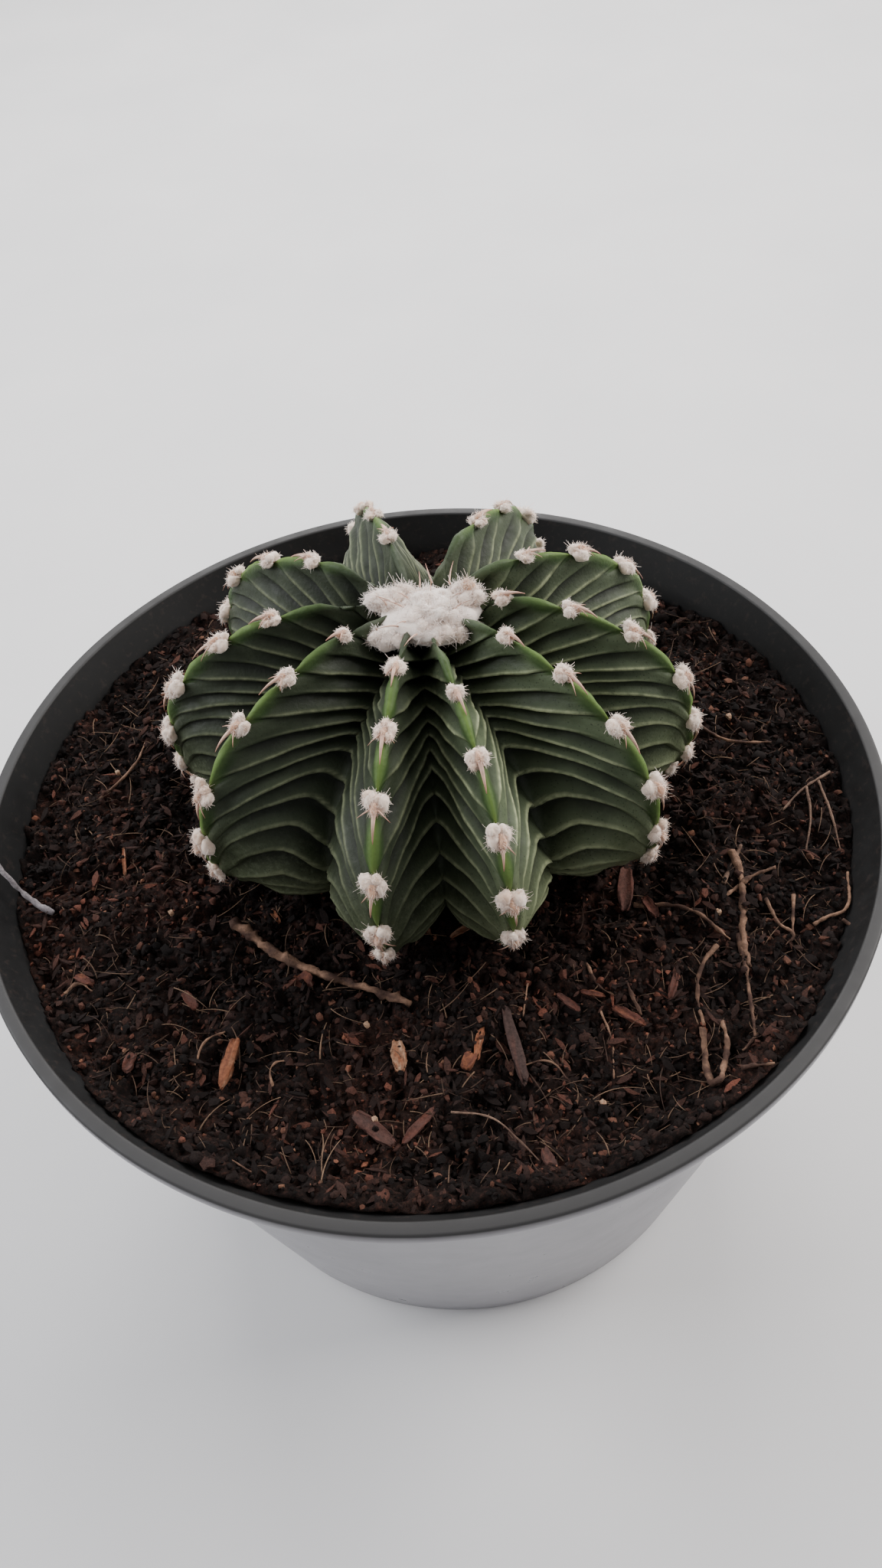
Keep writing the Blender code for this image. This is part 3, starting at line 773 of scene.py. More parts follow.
def make_fibres(name, count, lengths, radii, material, seed, tones=(0.0, 1.0)):
    """Thin root hairs and peat fibres that lie bent on the mix."""
    chance = np.random.default_rng(seed)
    spots = spots_on_bed(count, chance, 2.0 * MM, CLEAR_OF_PLANT + MM)
    turn = chance.uniform(0, tau, count)
    length = chance.uniform(*lengths, count)
    rise = chance.uniform(-0.05, 0.35, count)
    direction = np.stack([np.cos(turn), np.sin(turn), rise], -1)
    start = spots - direction[:, :2] * length[:, None] * 0.3
    far = np.linalg.norm(start, axis=1) / (bed_edge() - 0.4 * MM)
    start /= np.maximum(far, 1.0)[:, None]
    end = start + direction[:, :2] * length[:, None]
    far = np.linalg.norm(end, axis=1) > bed_edge() - 0.5 * MM
    direction[far, :2] *= -1.0
    height = bed_height(start[:, 0], start[:, 1]) + 0.3 * MM
    roots = np.concatenate([start, height[:, None]], 1)
    sideways = np.stack([-np.sin(turn), np.cos(turn), np.zeros(count)], -1)
    bends = sideways * (length * chance.uniform(-0.55, 0.55, count))[:, None]
    bends[:, 2] -= length * np.abs(rise) * 1.1
    mesh, _ = strands(roots, direction, length, chance.uniform(*radii, count), bends, 4, 7, 0.45)
    give_tones(mesh, tones, chance.uniform(0, 1, count))
    add_piece(name, mesh, material)


# Plant


def outline(latitude, radius, rise, drop, power):
    turn = np.radians(latitude)
    across = radius * np.abs(np.cos(turn)) ** (2.0 / power)
    up = np.abs(np.sin(turn)) ** (2.0 / power)
    return across, np.where(latitude > 0, rise * up, -drop * up)


def ridge_at(latitude):
    across, up = outline(latitude, *RIDGE_OUTLINE)
    dip = CROWN_DIP * np.maximum(0.0, 1.0 - (across / CROWN_DIP_RADIUS) ** 2)
    return across, WAIST + up - np.where(latitude > 0, dip, 0.0)


def valley_at(latitude):
    across, up = outline(latitude, *VALLEY_OUTLINE)
    return across, VALLEY_WAIST + up


def latitude_of(place):
    return np.interp(place, PLACES, PLACE_LATITUDES)


def flank_columns():
    """For each column: bearing, share of the way from ridge to valley, areole shift, its blend, and the
    degrees between the two ridges."""
    rows = []
    for number, (bearing, shift, _) in enumerate(RIBS):
        following, next_shift, _ = RIBS[(number + 1) % len(RIBS)]
        gap = (following - bearing) % 360.0
        match = (next_shift - shift + 0.25) % 0.5 - 0.25
        for step in range(2 * FLANK_COLUMNS):
            first_half = step <= FLANK_COLUMNS
            near = step if first_half else 2 * FLANK_COLUMNS - step
            away = (near / FLANK_COLUMNS) ** 1.3
            across = away / 2 if first_half else 1.0 - away / 2
            blend = float(smooth(0.70, 1.0, away)) / 2
            own = shift if first_half else next_shift
            moved = own + match * blend if first_half else own - match * blend
            rows.append((radians(bearing + gap * across), away, own, moved, gap))
    return np.array(rows).T


def skin_places():
    """Areole place of each ring, from the foot up to the crown."""
    low = np.linspace(PLACES[-1], PLACES[-3], LOW_RINGS + 1)[:-1]
    high = np.linspace(PLACES[-3], PLACES[0], SKIN_RINGS - LOW_RINGS)
    return np.concatenate([low, high])


def lip_shape(share):
    rise = (share / FOLD_CREST) ** 1.5
    fall = 1.0 - smooth(FOLD_CREST, 0.97, share)
    return np.where(share < FOLD_CREST, rise, fall)


def grid_normals(grid):
    round_way = np.roll(grid, -1, 1) - np.roll(grid, 1, 1)
    up_way = np.gradient(grid, axis=0)
    return unit(np.cross(round_way, up_way))


def make_skin(material):
    columns = 2 * FLANK_COLUMNS * len(RIBS)
    mesh, ring, column = ringed_mesh("cactus_skin", columns, SKIN_RINGS)
    bearing, away, own, moved, gap = flank_columns()
    place = skin_places()[:, None]
    ridge_latitude = latitude_of(place)
    valley_latitude = np.interp(ridge_latitude, RIDGE_LATITUDES, VALLEY_LATITUDES)
    low_down = smooth(3.0, 6.0, place)
    droop = 1.0 - (1.0 - away) ** mix(FOLD_DROOP, 3.0, low_down)
    latitude = mix(ridge_latitude, valley_latitude, droop)
    sag = VALLEY_SAG * low_down * (1.0 - smooth(6.5, 8.5, place)) * smooth(28.0, 40.0, gap)
    latitude = latitude - sag * smooth(0.6, 1.0, away)
    ridge_across, ridge_up = ridge_at(latitude)
    valley_across, valley_up = valley_at(latitude)
    curve = np.interp(latitude, FLANK_LATITUDES, FLANK_CURVES)
    blunt = np.sqrt(away ** 2 + 0.03 ** 2) - 0.03
    share = (1.0 - np.minimum(blunt / 0.9704, 1.0)) ** curve
    share = mix(1.0, share, smooth(CROWN_INNER, CROWN_OUTER, ridge_across))
    across = mix(valley_across, ridge_across, share)
    up = mix(valley_up, ridge_up, share)
    grid = np.concatenate([PLANT_AXIS + towards(bearing) * across[..., None], up[..., None]], -1)

    # Folds across the flanks
    cell = 2.0 * (place - moved) + 0.1
    fold = cell % 1.0
    main_fold = np.floor(cell) % 2 == 1
    reach = np.where(main_fold, smooth(0.03, mix(0.20, 0.55, low_down), away),
                     smooth(0.12, mix(0.50, 0.75, low_down), away))
    fade = smooth(-1.0, -0.2, place) * (1.0 - smooth(7.6, 8.4, place))
    depth = reach * fade
    outward = grid_normals(grid)
    flat = grid.reshape(-1, 3)
    uneven = rough(flat, 5.0 * MM, 2, 5.0).reshape(latitude.shape)
    fine = rough(flat, 1.1 * MM, 3, 11.0).reshape(latitude.shape)
    lip = lip_shape(fold)
    lifted = FOLD_HEIGHT * depth * (lip - 0.45) * (1.0 + 0.5 * uneven)
    # Lobes along the ridge between areoles
    between = (place - own) % 1.0
    lobe = np.sin(pi * between ** 0.85) ** 0.8
    near_ridge = np.exp(-(away / 0.11) ** 2)
    lifted = lifted + (RIDGE_LOBE * lobe - RIDGE_NOTCH * (1.0 - lobe)) * near_ridge * fade
    lifted = lifted + 0.20 * MM * uneven + 0.07 * MM * fine
    crown_smooth = smooth(-1.0, -0.85, place)
    grid = grid + outward * (lifted * crown_smooth)[..., None]
    grid[..., 2] -= FOLD_OVERHANG * depth * np.where(fold < FOLD_CREST + 0.02, lip ** 4, lip)

    low_end = np.array([*PLANT_AXIS, WAIST - RIDGE_OUTLINE[2]])
    whole = np.concatenate([np.broadcast_to(low_end, (1, columns, 3)), grid])
    whole[-1] = whole[-1].mean(0)
    move_points(mesh, whole[ring, column])

    # Values that colour the skin, among them painted shade and painted highlights on the folds

    def per_point(values):
        values = np.broadcast_to(values, latitude.shape)
        return np.concatenate([values[:1], values])[ring, column]

    width = 0.024 + 0.074 * between
    green = (1.0 - smooth(0.75 * width, 1.35 * width, away)) * smooth(-0.5, 0.6, place)
    # A painted highlight along each fold's crest.
    crest_highlight = np.exp(-((fold - FOLD_CREST + 0.045) / 0.058) ** 2) * depth
    # Where painted shadow falls: the groove just under each fold's lip.
    groove_shadow = smooth(0.86, 0.95, fold) + (1.0 - smooth(0.0, 0.25, fold))
    # rise is painted shade across each fold: darkest just under the lip above, lighter towards its own crest,
    # dark again past it.
    rise = mix(1.0, mix(0.22, 1.0, smooth(0.05, 0.85, fold) ** 1.3) * np.where(fold > 0.86, 0.35, 1.0), reach)
    # clean weakens the painted fold shade and the painted crest highlight towards the foot.
    clean = mix(0.2, 1.0, smooth(-52.0, -20.0, latitude))
    turn = (np.degrees(bearing) + 180.0) % 360.0 - 180.0
    looks = {
        "green": green * 0.9,
        "edge": np.exp(-(away / 0.022) ** 2) * 0.75 * smooth(-0.2, 1.2, place),
        "crest_highlight": crest_highlight * clean * smooth(-0.6, 1.5, place),
        "rise": rise * clean,
        "groove_shadow": np.clip(groove_shadow, 0, 1) * reach * fade,
        "tone": np.interp(turn, TONE_BEARINGS, TONES),
        "low": 1.0 - smooth(-30.0, 28.0, latitude),
    }
    for name, values in looks.items():
        set_values(mesh, name, per_point(values))
    add_piece("ribbed_skin", mesh, material, ["cactus_body"])


def areole_places(shift, count):
    """Places down a rib of the areoles below the crown's own wool."""
    places = [number + shift for number in range(count + 1)]
    return [place for place in places if latitude_of(place) < 77.0][:count]


def areole_axes(bearing, place):
    """A spot on a rib's edge with its directions round the plant, down the rib and outwards."""
    def spot(latitude):
        across, up = ridge_at(np.array(latitude))
        return np.array([*(PLANT_AXIS + towards(bearing) * across), up])

    latitude = latitude_of(place)
    here = spot(latitude)
    down = unit(spot(latitude - 2.0) - here)
    sideways = np.array([-sin(bearing), cos(bearing), 0.0])
    outwards = unit(np.cross(sideways, down))
    if outwards @ (here - np.array([*PLANT_AXIS, RIM_HEIGHT])) < 0:
        outwards = -outwards
    return here - outwards * RIDGE_NOTCH * 0.6, sideways, down, outwards


def woolly_lump(middle, axes, size, chance, hairs, hair_length, warm, droop=0.45):
    """A lumpy cushion and the short hairs that cover it. Axes: sideways, down, outwards."""
    shape = bmesh.new()
    bmesh.ops.create_icosphere(shape, subdivisions=3, radius=0.5)
    mesh = to_mesh(shape, "lump")
    ball = points_of(mesh)
    lumpy = 1.0 + 0.30 * rough(ball, 0.40, 3, float(chance.uniform(0, 50)))
    basis = np.array(axes)
    move_points(mesh, middle + (ball * lumpy[:, None] * np.array(size)) @ basis)
    set_values(mesh, "warm", np.full(len(ball), warm + 0.15))
    normal = unit(chance.normal(size=(hairs, 3)))
    normal[:, 2] = np.abs(normal[:, 2]) * 1.1 - 0.25
    normal = unit(normal)
    roots = middle + (normal * np.array(size) * 0.47) @ basis
    direction = 0.55 * normal + chance.normal(size=(hairs, 3)) * 0.6 + np.array([0.0, droop, 0.0])
    direction = unit(direction) @ basis
    lengths = (chance.uniform(0.4, 1.0, hairs) + 1.1 * chance.uniform(0.0, 1.0, hairs) ** 12) * hair_length
    bends = unit(chance.normal(size=(hairs, 3))) * lengths[:, None] * 0.55
    radii = chance.uniform(0.6, 1.2, hairs) * HAIR_RADIUS
    hair, each = strands(roots, direction, lengths, radii, bends, 3, 2, 0.4)
    set_values(hair, "warm", np.repeat(np.clip(warm + chance.uniform(-0.1, 0.15, hairs), 0, 1), each))
    return [mesh, hair]


def make_tufts(material):
    """Each areole: two fuzzy lobes side by side, small lumps between them and a warm middle."""
    for rib, (bearing, shift, count) in enumerate(RIBS, start=1):
        chance = np.random.default_rng(100 + rib)
        meshes = []
        # Each lump: sideways, down, lift, breadth, length, thickness, hairs, warmth
        for place in areole_places(shift, count):
            here, sideways, down, outwards = areole_axes(radians(bearing), place)
            axes = (sideways, down, outwards)
            big = float(np.interp(place, TUFT_PLACES, TUFT_SIZES)) * chance.uniform(0.92, 1.08) * MM
            lumps_here = [(side * 0.55, chance.uniform(-0.35, 0.25), chance.uniform(0.30, 0.45),
                           chance.uniform(1.4, 1.8), chance.uniform(1.7, 2.2), 1.5, 150, 0.08)
                          for side in (-1.0, 1.0)]
            lumps_here += [(chance.uniform(-0.9, 0.9), chance.uniform(-0.95, 0.95), chance.uniform(0.35, 0.8),
                            1.2, 1.3, 1.05, 75, chance.uniform(0.0, 0.5)) for _ in range(4)]
            lumps_here.append((0.0, 0.45, 0.78, 0.95, 1.9, 1.45, 90, 0.85))
            for x, y, lift, breadth, length, thick, hairs, warm in lumps_here:
                middle = here + (sideways * x + down * y + outwards * lift) * big
                size = np.array((breadth, length, thick)) * big * chance.uniform(0.9, 1.1)
                meshes += woolly_lump(middle, axes, size, chance, hairs, TUFT_HAIR * big, warm)
        mesh = joined("tufts", meshes)
        nodes = [f"areole_r{rib}_{number}" for number in range(1, CAD_AREOLES + 1)]
        add_piece(f"wool_rib_{rib}", mesh, material, nodes)


def make_spines(material):
    """At each areole one spine points down the rib and a few short ones curve to the sides."""
    for rib, (bearing, shift, count) in enumerate(RIBS, start=1):
        chance = np.random.default_rng(300 + rib)
        roots, directions, lengths, radii, bends = [], [], [], [], []
        for place in areole_places(shift, count):
            here, sideways, down, outwards = areole_axes(radians(bearing), place)
            long = float(np.interp(place, (0.0, 2.0, 5.0), (2.0, 3.4, 3.2)))
            fans = [(chance.uniform(-0.15, 0.15), long, 0.25)]
            fans += [(side * chance.uniform(0.5, 1.2), long * chance.uniform(0.5, 0.75), 0.11)
                     for side in (-1, 1) if chance.uniform() < 0.7]
            for fan, length, radius in fans:
                aim = unit(down * cos(fan) + sideways * sin(fan) + outwards * 0.34)
                roots.append(here + outwards * 0.8 * MM + down * 0.3 * MM)
                directions.append(aim)
                lengths.append(length * MM * chance.uniform(0.85, 1.1))
                radii.append(radius * MM * chance.uniform(0.85, 1.15))
                bends.append(-outwards * 0.40 * length * MM + down * 0.2 * MM)
        mesh, _ = strands(np.array(roots), np.array(directions), np.array(lengths), np.array(radii),
                          np.array(bends), 6, 8, 0.15)
        add_piece(f"spines_rib_{rib}", mesh, material)


def make_crown(material, spine):
    """The felt on the growing point: one main cushion and young areoles that press against it."""
    chance = np.random.default_rng(77)
    axes = (np.array([1.0, 0, 0]), np.array([0, -1.0, 0]), np.array([0, 0, 1.0]))
    _, top = ridge_at(np.array(88.0))
    # x, y and lift in mm from the growing point, breadth, length, thickness, warmth
    lobes = [
        (*CROWN_MIDDLE, -0.5, 9.2, 7.8, 3.2, 0.05),
        (-3.7, 0.6, 0.2, 3.2, 2.8, 2.2, 0.12),
        (-2.0, 0.9, 0.2, 2.8, 2.4, 2.0, 0.30),
        (5.3, -0.1, 0.3, 3.2, 3.4, 2.4, 0.20),
        (5.6, 0.2, 1.0, 1.3, 1.4, 1.4, 1.0),
        (-3.4, -4.0, -0.9, 3.4, 2.6, 2.2, 0.10),
    ]
    for x, y, lift, breadth, _, _, warm in lobes[1:]:
        for _ in range(3):
            lobes.append((x + chance.uniform(-0.4, 0.4) * breadth, y + chance.uniform(-0.4, 0.4) * breadth,
                          lift + 0.2, 0.55 * breadth, 0.5 * breadth, 1.5, warm + chance.uniform(0.0, 0.2)))
    for _ in range(CROWN_LUMPS):
        turn = chance.uniform(0, tau)
        out = CROWN_SPREAD * sqrt(chance.uniform(0, 1))
        wide = chance.uniform(1.3, 2.5)
        x = CROWN_MIDDLE[0] + out * cos(turn)
        y = CROWN_MIDDLE[1] + 0.85 * out * sin(turn)
        warm = chance.uniform(0.0, 0.2) + 0.3 * (out / CROWN_SPREAD) ** 4
        lobes.append((x, y, 0.75 - 0.085 * out * out, wide, wide, 1.6, warm))
    meshes = []
    for x, y, lift, breadth, length, thick, warm in lobes:
        middle = np.array([PLANT_AXIS[0] + x * MM, PLANT_AXIS[1] + y * MM, float(top) + lift * MM])
        meshes += woolly_lump(middle, axes, np.array((breadth, length, thick)) * MM, chance,
                              int(CROWN_HAIRS_PER_MM * breadth), CROWN_HAIR, warm, 0.0)
    add_piece("crown_cushion", joined("crown", meshes), material, ["crown_wool"])
    count = CROWN_SPINES
    turn = chance.uniform(0, tau, count)
    across = chance.uniform(1.5, 4.6, count) * MM
    outward = np.stack([np.cos(turn), np.sin(turn), np.zeros(count)], -1)
    middle = np.array([PLANT_AXIS[0] + 1.4 * MM, PLANT_AXIS[1] - 1.7 * MM, float(top) + 0.5 * MM])
    roots = middle + outward * across[:, None]
    directions = unit(outward * 0.5 + np.array([0, 0, 1.0]) + chance.normal(size=(count, 3)) * 0.4)
    bends = (outward * 0.8 - np.array([0, 0, 0.6])) * MM
    mesh, _ = strands(roots, directions, chance.uniform(1.4, 2.4, count) * MM,
                      np.full(count, 0.11 * MM), bends, 6, 7, 0.15)
    add_piece("crown_spines", mesh, spine)


# Loose bits on the mix


def on_mix(bearing, share):
    direction = towards(radians(bearing))
    along = float(PLANT_AXIS @ direction)
    reach = sqrt(along ** 2 + bed_edge() ** 2 - float(PLANT_AXIS @ PLANT_AXIS)) - along
    return PLANT_AXIS + direction * mix(RIDGE_OUTLINE[0], reach, share)


def laid(route, lift):
    """The points of a route, lifted by this many mm off the mix."""
    spots = np.array([on_mix(bearing, share) for bearing, share, _ in route])
    lifts = np.array([lift for _, _, lift in route])
    heights = level(spots[:, 0], spots[:, 1]) + (lift + 0.5) * MM + lifts
    return np.concatenate([spots, heights[:, None]], 1)


def laid_at(spots, radius):
    """The same for a row of x, y places in mm."""
    spots = np.array(spots, float) * MM
    heights = level(spots[:, 0], spots[:, 1]) + (radius + 0.45) * MM
    heights[1:-1] += 0.25 * MM
    return np.concatenate([spots, heights[:, None]], 1)


def tube(points, radius, taper, knots, seed, tone=0.45):
    """A twig or root with an uneven surface, thinner at its far end. The radius is in mm."""
    curve = bpy.data.curves.new("way", "CURVE")
    curve.dimensions = "3D"
    curve.resolution_u = 10
    curve.bevel_depth = radius * MM
    curve.bevel_resolution = 3
    curve.use_fill_caps = True
    spline = curve.splines.new("BEZIER")
    spline.bezier_points.add(len(points) - 1)
    for number, (bezier, point) in enumerate(zip(spline.bezier_points, points)):
        bezier.co = point
        bezier.handle_left_type = "AUTO"
        bezier.handle_right_type = "AUTO"
        bezier.radius = mix(1.0, taper, number / (len(points) - 1))
    mesh = mesh_of(new_object("way", curve))
    shape = bmesh.new()
    shape.from_mesh(mesh)
    bpy.data.meshes.remove(mesh)
    bmesh.ops.remove_doubles(shape, verts=shape.verts, dist=1e-6)
    bmesh.ops.recalc_face_normals(shape, faces=shape.faces)
    if shape.calc_volume(signed=True) < 0.0:
        bmesh.ops.reverse_faces(shape, faces=shape.faces)
    mesh = to_mesh(shape, "tube")
    spots = points_of(mesh)
    normals = np.array([v.normal for v in mesh.vertices])
    bulge = rough(spots, 0.9 * MM, 3, seed) * radius * MM * 2.5 * knots
    move_points(mesh, spots + normals * bulge[:, None])
    set_values(mesh, "tone", np.clip(tone + 0.8 * rough(spots, 1.8 * MM, 3, seed + 4), 0, 1))
    return mesh


def flat_bit(place, size, turn, tone, lift, seed, curl=0.0):
    """A flat sliver of wood or bark with worn ends, bent to the mix that it lies on. All in mm."""
    breadth, length, thickness = (value * MM for value in size)
    shape = bmesh.new()
    bmesh.ops.create_cube(shape, size=1.0)
    bmesh.ops.bevel(shape, geom=list(shape.edges), offset=0.08, offset_type="OFFSET", segments=1,
                    profile=0.5, affect="EDGES", material=-1)
    bmesh.ops.subdivide_edges(shape, edges=list(shape.edges), cuts=3, use_grid_fill=True)
    mesh = to_mesh(shape, "flat_bit")
    points = points_of(mesh)
    narrow = 1.0 - 0.5 * np.abs(2.0 * points[:, 1]) ** 4
    x = points[:, 0] * breadth * narrow * (1.0 + 0.5 * rough(points, 0.25, 2, seed))
    y = points[:, 1] * length * (1.0 + 0.2 * rough(points, 0.3, 2, seed + 2))
    east, north = towards(radians(turn))
    middle = np.array(place) * MM
    across = middle[0] + x * east - y * north
    along = middle[1] + x * north + y * east
    base = level(middle[0:1], middle[1:2])
    up = (mix(base, level(across, along), 0.5) + lift * MM + (points[:, 2] + 0.5) * thickness * narrow
          + curl * (2.0 * points[:, 0]) ** 2 * thickness
          + 0.3 * thickness * rough(points, 0.2, 2, seed + 6))
    move_points(mesh, np.stack([across, along, up], -1))
    set_values(mesh, "tone", np.clip(tone + 0.15 * rough(points, 0.3, 2, seed + 8), 0, 1))
    return mesh


# Each route's points: bearing from the plant's axis, share of the way to the wall, lift
FRONT_TWIG = ((-143, 0.04, 0.0006), (-135, 0.03, 0), (-127, 0.02, 0), (-119, 0.02, 0),
              (-110, 0.02, 0), (-100, 0.08, 0))
FORKED_TWIG = ((-28, 0.33, 0.0005), (-32, 0.42, 0), (-38, 0.50, 0), (-43, 0.58, 0), (-46, 0.67, 0))
FORK_BRANCH = ((-33.5, 0.435, 0), (-31, 0.50, 0.0003), (-29, 0.59, 0.0006))
RIM_TWIG = ((-58, 0.70, 0.0008), (-60, 0.79, 0), (-61.5, 0.87, 0), (-62, 0.93, 0),
            (-59.5, 0.89, 0.0003), (-57, 0.82, 0.0006), (-55.5, 0.74, 0.0010))
ROOT_STRAND = ((-162, 0.82, 0), (-164, 0.90, 0.0009))
STRAND_BEARINGS = (-172.0, -175.5, -178.0, -180.0)
SMALL_FORK = ((-35, 0.35, 0.0004), (-30, 0.36, 0.0002), (-26, 0.38, 0.0004))
LOOP_FIBRE = ((-93, 0.60, 0.0003), (-88, 0.65, 0.0005), (-85, 0.78, 0.0005), (-83.5, 0.87, 0.0002))
WALL_ROOTLETS = (
    ((-9, 0.93, 0.0004), (-13, 0.72, 0.0006), (-17, 0.60, 0.0003)),
    ((-11, 0.84, 0.0006), (-17, 0.88, 0.0007), (-23, 0.93, 0.0004)),
    ((-12, 0.76, 0.0005), (-18, 0.76, 0.0007), (-24, 0.74, 0.0003)),
)


# Root and twig ends on the mix: radius, tone and the x, y of the points that they pass. All in mm.
ROOTLETS = (
    (0.30, 0.25, (31.5, -23), (31, -28.5), (30, -35.5)),
    (0.24, 0.45, (29, -24), (27, -26), (25.5, -30), (25.5, -33)),
    (0.28, 0.35, (21.5, -17), (27, -19.5), (30.5, -23.5)),
    (0.24, 0.70, (33, -17), (31.5, -18), (29.5, -19.5)),
    (0.22, 0.55, (35.5, -19), (36, -22.5), (37, -24), (36, -25)),
    (0.20, 0.50, (38.5, -19), (37, -24)),
    (0.22, 0.60, (39.5, -23), (41, -22.5), (43, -22), (45, -17)),
    (0.18, 0.70, (42.5, -23), (43.5, -24.5)),
    (0.22, 0.55, (30.5, -35), (28.5, -36.5)),
    (0.25, 0.30, (27.5, -39), (30.5, -39.5)),
    (0.20, 0.40, (15, -24), (16, -27.5), (17.5, -28.5)),
    (0.12, 0.85, (15.5, -30), (16, -33.5), (15.5, -37.5)),
    (0.26, 0.20, (18.5, -26), (19, -29), (19.5, -31)),
    (0.13, 0.95, (-18.5, -34.5), (-18.5, -32), (-16.5, -31.5)),
    (0.16, 0.60, (-22.5, -42), (-20, -44)),
    (0.12, 0.60, (6.5, -35), (9.5, -35), (11, -37)),
    (0.12, 0.80, (8.5, -25.5), (7.5, -29.5)),
    (0.20, 0.45, (-41, -21), (-39.5, -20), (-38, -21)),
    (0.16, 0.80, (-26.5, -31), (-25.5, -28.5), (-23.5, -27.5)),
    (0.22, 0.30, (34, 8), (37, 4), (42, 3)),
    (0.20, 0.40, (-40, 6), (-36, 11), (-35, 15)),
    (0.22, 0.35, (10, 41), (14, 43), (19, 41)),
)


# Flat bits of bark and wood: place, then breadth, length and thickness, turn and tone. All in mm.
CHIPS = (
    ((2.7, -31.8), (0.9, 5.2, 0.4), -15, 0.90),
    ((1.4, -33.9), (1.5, 2.4, 0.6), -30, 0.78),
    ((-5.6, -32.5), (1.6, 4.2, 0.6), 3, 0.97),
    ((-15.3, -22.6), (2.4, 2.7, 0.8), 20, 0.66),
    ((-8.6, -39.9), (1.8, 6.2, 0.5), 46, 0.50),
    ((-4.1, -40.1), (1.1, 5.6, 0.5), -47, 0.58),
    ((18.2, -31.0), (1.1, 4.6, 0.5), 49, 0.66),
    ((12.3, -28.6), (0.9, 3.6, 0.4), 40, 0.60),
    ((15.0, -28.0), (0.7, 3.0, 0.4), 70, 0.70),
    ((20.9, -14.8), (2.0, 7.0, 0.8), -12, 0.55),
    ((23.0, -18.0), (1.2, 4.0, 0.5), 15, 0.62),
    ((2.2, -17.6), (0.8, 3.4, 0.4), -62, 0.93),
    ((-1.6, -16.8), (0.6, 2.8, 0.4), 20, 0.95),
    ((-36.0, -4.0), (0.5, 5.0, 0.4), 8, 0.90),
    ((-27.3, -23.5), (1.2, 3.2, 0.6), 35, 0.62),
    ((-33.2, -30.0), (1.3, 2.8, 0.6), -20, 0.58),
    ((-39.0, -19.6), (1.0, 3.0, 0.5), 60, 0.66),
    ((-18.5, -13.0), (0.7, 2.6, 0.4), 30, 0.88),
    ((23.4, -28.2), (0.9, 3.8, 0.5), -25, 0.60),
    ((7.9, -45.0), (1.2, 3.0, 0.6), 15, 0.52),
    ((33.0, 12.0), (1.3, 3.4, 0.6), 50, 0.60),
    ((-31.0, 20.0), (1.2, 3.8, 0.6), -40, 0.64),
    ((-8.0, 40.0), (1.1, 4.2, 0.5), 75, 0.60),
    ((18.0, 38.0), (1.4, 3.2, 0.6), 10, 0.72),
)
PALE_SPECKS = ((-8.4, -39.0), (-22.7, -31.0), (-8.7, -28.6), (-30.0, -12.0), (14.0, -40.0), (30.0, -20.0),
               (38.0, 8.0), (-20.0, 34.0), (6.0, 42.0), (-38.0, 10.0))


def strand_points():
    """The root strand's way from the mix up and over onto the lip."""
    lip_middle = RIM_RADIUS - LIP_WIDTH / 2
    on_lip = RIM_HEIGHT + 0.55 * MM
    stations = ((lip_middle - 2 * LIP_WIDTH, on_lip), (lip_middle - LIP_WIDTH, on_lip + 0.9 * MM),
                (lip_middle, on_lip), (lip_middle, on_lip))
    points = list(laid(ROOT_STRAND, 0.35))
    for bearing, (across, height) in zip(STRAND_BEARINGS, stations):
        points.append(np.array([*(towards(radians(bearing)) * across), height]))
    return points


def make_loose_bits(wood, bark, root, strand):
    fork = [tube(laid(FORKED_TWIG, 0.45), 0.44, 0.6, 0.28, 4.0),
            tube(laid(FORK_BRANCH, 0.45), 0.28, 0.6, 0.26, 6.0)]
    bits = (
        ("bent_front_twig", tube(laid(FRONT_TWIG, 0.5), 0.60, 0.6, 0.30, 2.0), wood, "twig_wood",
         "front_twig"),
        ("forked_dry_twig", joined("fork", fork), wood, "twig_wood", "forked_twig"),
        ("bent_rim_twig", tube(laid(RIM_TWIG, 0.4), 0.33, 0.7, 0.24, 8.0), wood, "twig_wood", "rim_twig"),
        ("lip_root", tube(strand_points(), 0.33, 0.7, 0.2, 9.0), strand, "dry_root", "root_strand"),
        ("dark_stick", flat_bit((6.2, -32.6), (1.15, 8.6, 0.7), 7.0, 0.36, 0.5, 3.0), bark, "bark",
         "flat_stick"),
        ("orange_chip", flat_bit((-23.0, -31.2), (1.05, 5.4, 0.8), -15.0, 0.78, 0.5, 5.0), bark, "bark",
         "bark_chip"),
    )
    for name, mesh, material, slot, node in bits:
        add_piece(name, mesh, material, [node])
    chips = []
    for seed, (place, size, turn, tone) in enumerate(CHIPS, 20):
        size = [0.8 * side for side in size]
        chips.append(flat_bit(place, size, turn, 0.90 * tone, 0.6, seed, 0.4))
    for seed, place in enumerate(PALE_SPECKS, 60):
        chips.append(flat_bit(place, (0.5, 0.7, 0.5), 30.0, 0.95, 0.7, seed))
    add_piece("bark_chips", joined("chips", chips), bark)
    roots = [tube(laid(SMALL_FORK, 0.3), 0.28, 0.6, 0.2, 11.0),
             tube(laid(LOOP_FIBRE, 0.2), 0.11, 0.6, 0.2, 12.0)]
    roots += [tube(laid(way, 0.2), 0.16, 0.6, 0.2, seed) for seed, way in enumerate(WALL_ROOTLETS, 13)]
    add_piece("pale_rootlets", joined("rootlets", roots), root)
    ends = [tube(laid_at(spots, radius), radius, 0.55, 0.25, seed, tone)
            for seed, (radius, tone, *spots) in enumerate(ROOTLETS, 40)]
    add_piece("root_ends", joined("root_ends", ends), wood)


# Setting


def make_floor():
    shape = bmesh.new()
    bmesh.ops.create_grid(shape, x_segments=1, y_segments=1, size=BENCH_SIZE)
    floor = new_object("bench", to_mesh(shape, "bench"))
    floor.data.materials.append(floor_material())


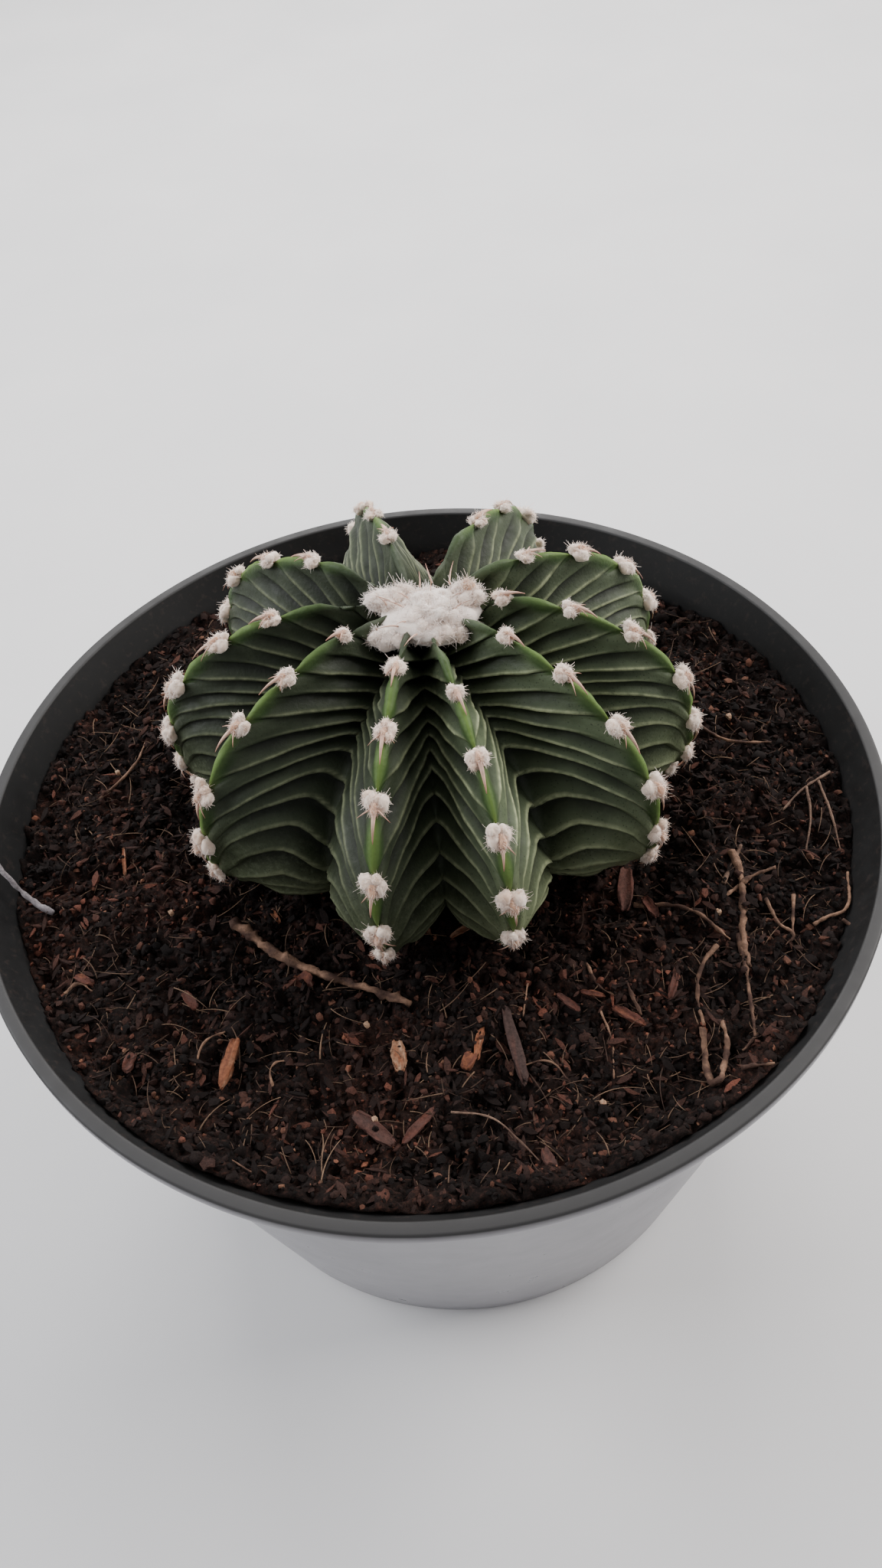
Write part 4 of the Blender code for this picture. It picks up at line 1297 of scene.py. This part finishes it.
def add_light(name, place, size, power, colour):
    light = bpy.data.lights.new(name, "AREA")
    light.shape = "SQUARE"
    light.size = size
    light.energy = power
    light.color = colour
    holder = new_object(name, light)
    holder.location = place
    aim = Vector((0.0, 0.0, RIM_HEIGHT)) - Vector(place)
    holder.rotation_euler = aim.to_track_quat("-Z", "Y").to_euler()


def light_scene():
    world = bpy.data.worlds.new("soft_room")
    world.use_nodes = True
    sky = world.node_tree.nodes["Background"]
    sky.inputs["Color"].default_value = (0.96, 0.96, 1.0, 1.0)
    sky.inputs["Strength"].default_value = 0.50
    bpy.context.scene.world = world
    add_light("left_window", (-0.55, 0.10, 0.42), size=0.45, power=5.6, colour=(0.95, 0.97, 1.0))
    add_light("right_window", (0.55, 0.15, 0.42), size=0.45, power=7.4, colour=(1.0, 0.97, 0.94))
    add_light("back_window", (0.0, 0.60, 0.45), size=0.50, power=5.8, colour=(1.0, 0.99, 0.98))


def add_camera():
    data = bpy.data.cameras.new("camera")
    data.lens = CAMERA_LENS
    data.sensor_width = 36.0
    data.clip_start = 0.01
    camera = new_object("camera", data)
    tilt = Matrix.Rotation(radians(90.0 - CAMERA_TILT), 4, "X")
    roll = Matrix.Rotation(radians(CAMERA_ROLL), 4, "Z")
    camera.matrix_world = Matrix.Translation(CAMERA_PLACE) @ tilt @ roll
    bpy.context.scene.camera = camera


def main():
    add_camera()
    light_scene()
    make_floor()
    make_pot(pot_material())
    make_bed(peat_material())
    crumbs = crumb_material()
    make_crumbs("fine_crumbs", 9500, (0.25 * MM, 0.60 * MM), 20, crumbs, seed=11)
    make_crumbs("small_crumbs", 9500, (0.45 * MM, 1.1 * MM), 20, crumbs, seed=12, sink=0.3,
                tones=(0.0, 0.93))
    make_crumbs("clods", 420, (0.8 * MM, 1.8 * MM), 80, crumbs, seed=13, sink=0.65, tones=(0.3, 0.80))
    make_slivers("bark_slivers", 2600, (0.6 * MM, 2.2 * MM), crumbs, seed=14, tones=(0.15, 0.88))
    hair = dry_material("peat_fibre", (0.0, (0.035, 0.019, 0.014)), (1.0, (0.20, 0.125, 0.08)))
    make_fibres("peat_fibres", 520, (1.5 * MM, 5.0 * MM), (0.04 * MM, 0.08 * MM), hair, seed=15)
    make_fibres("short_fibres", 1500, (0.7 * MM, 2.0 * MM), (0.035 * MM, 0.07 * MM), hair, seed=16,
                tones=(0.0, 0.6))
    make_skin(skin_material())
    make_tufts(woolly_material("areole_wool", 0.5 * MM, (0.0, (1.0, 0.80, 0.66)), (0.5, (0.88, 0.62, 0.47)),
                               (1.0, (0.64, 0.36, 0.23))))
    spine = spine_material()
    make_spines(spine)
    felt = woolly_material("crown_felt", 0.7 * MM, (0.0, (1.0, 0.88, 0.79)), (1.0, (0.68, 0.41, 0.26)))
    make_crown(felt, spine)
    wood = dry_material("twig_wood", (0.2, (0.048, 0.025, 0.018)), (0.8, (0.21, 0.120, 0.078)))
    bark = dry_material("bark", (0.0, (0.022, 0.014, 0.012)), (0.35, (0.050, 0.030, 0.026)),
                        (0.6, (0.085, 0.030, 0.021)), (0.8, (0.19, 0.070, 0.034)), (1.0, (0.40, 0.27, 0.18)))
    root = dry_material("dry_root", (0.0, (0.072, 0.042, 0.030)), (1.0, (0.20, 0.126, 0.090)))
    strand = dry_material("grey_root", (0.0, (0.16, 0.14, 0.145)), (1.0, (0.34, 0.31, 0.32)))
    make_loose_bits(wood, bark, root, strand)


main()
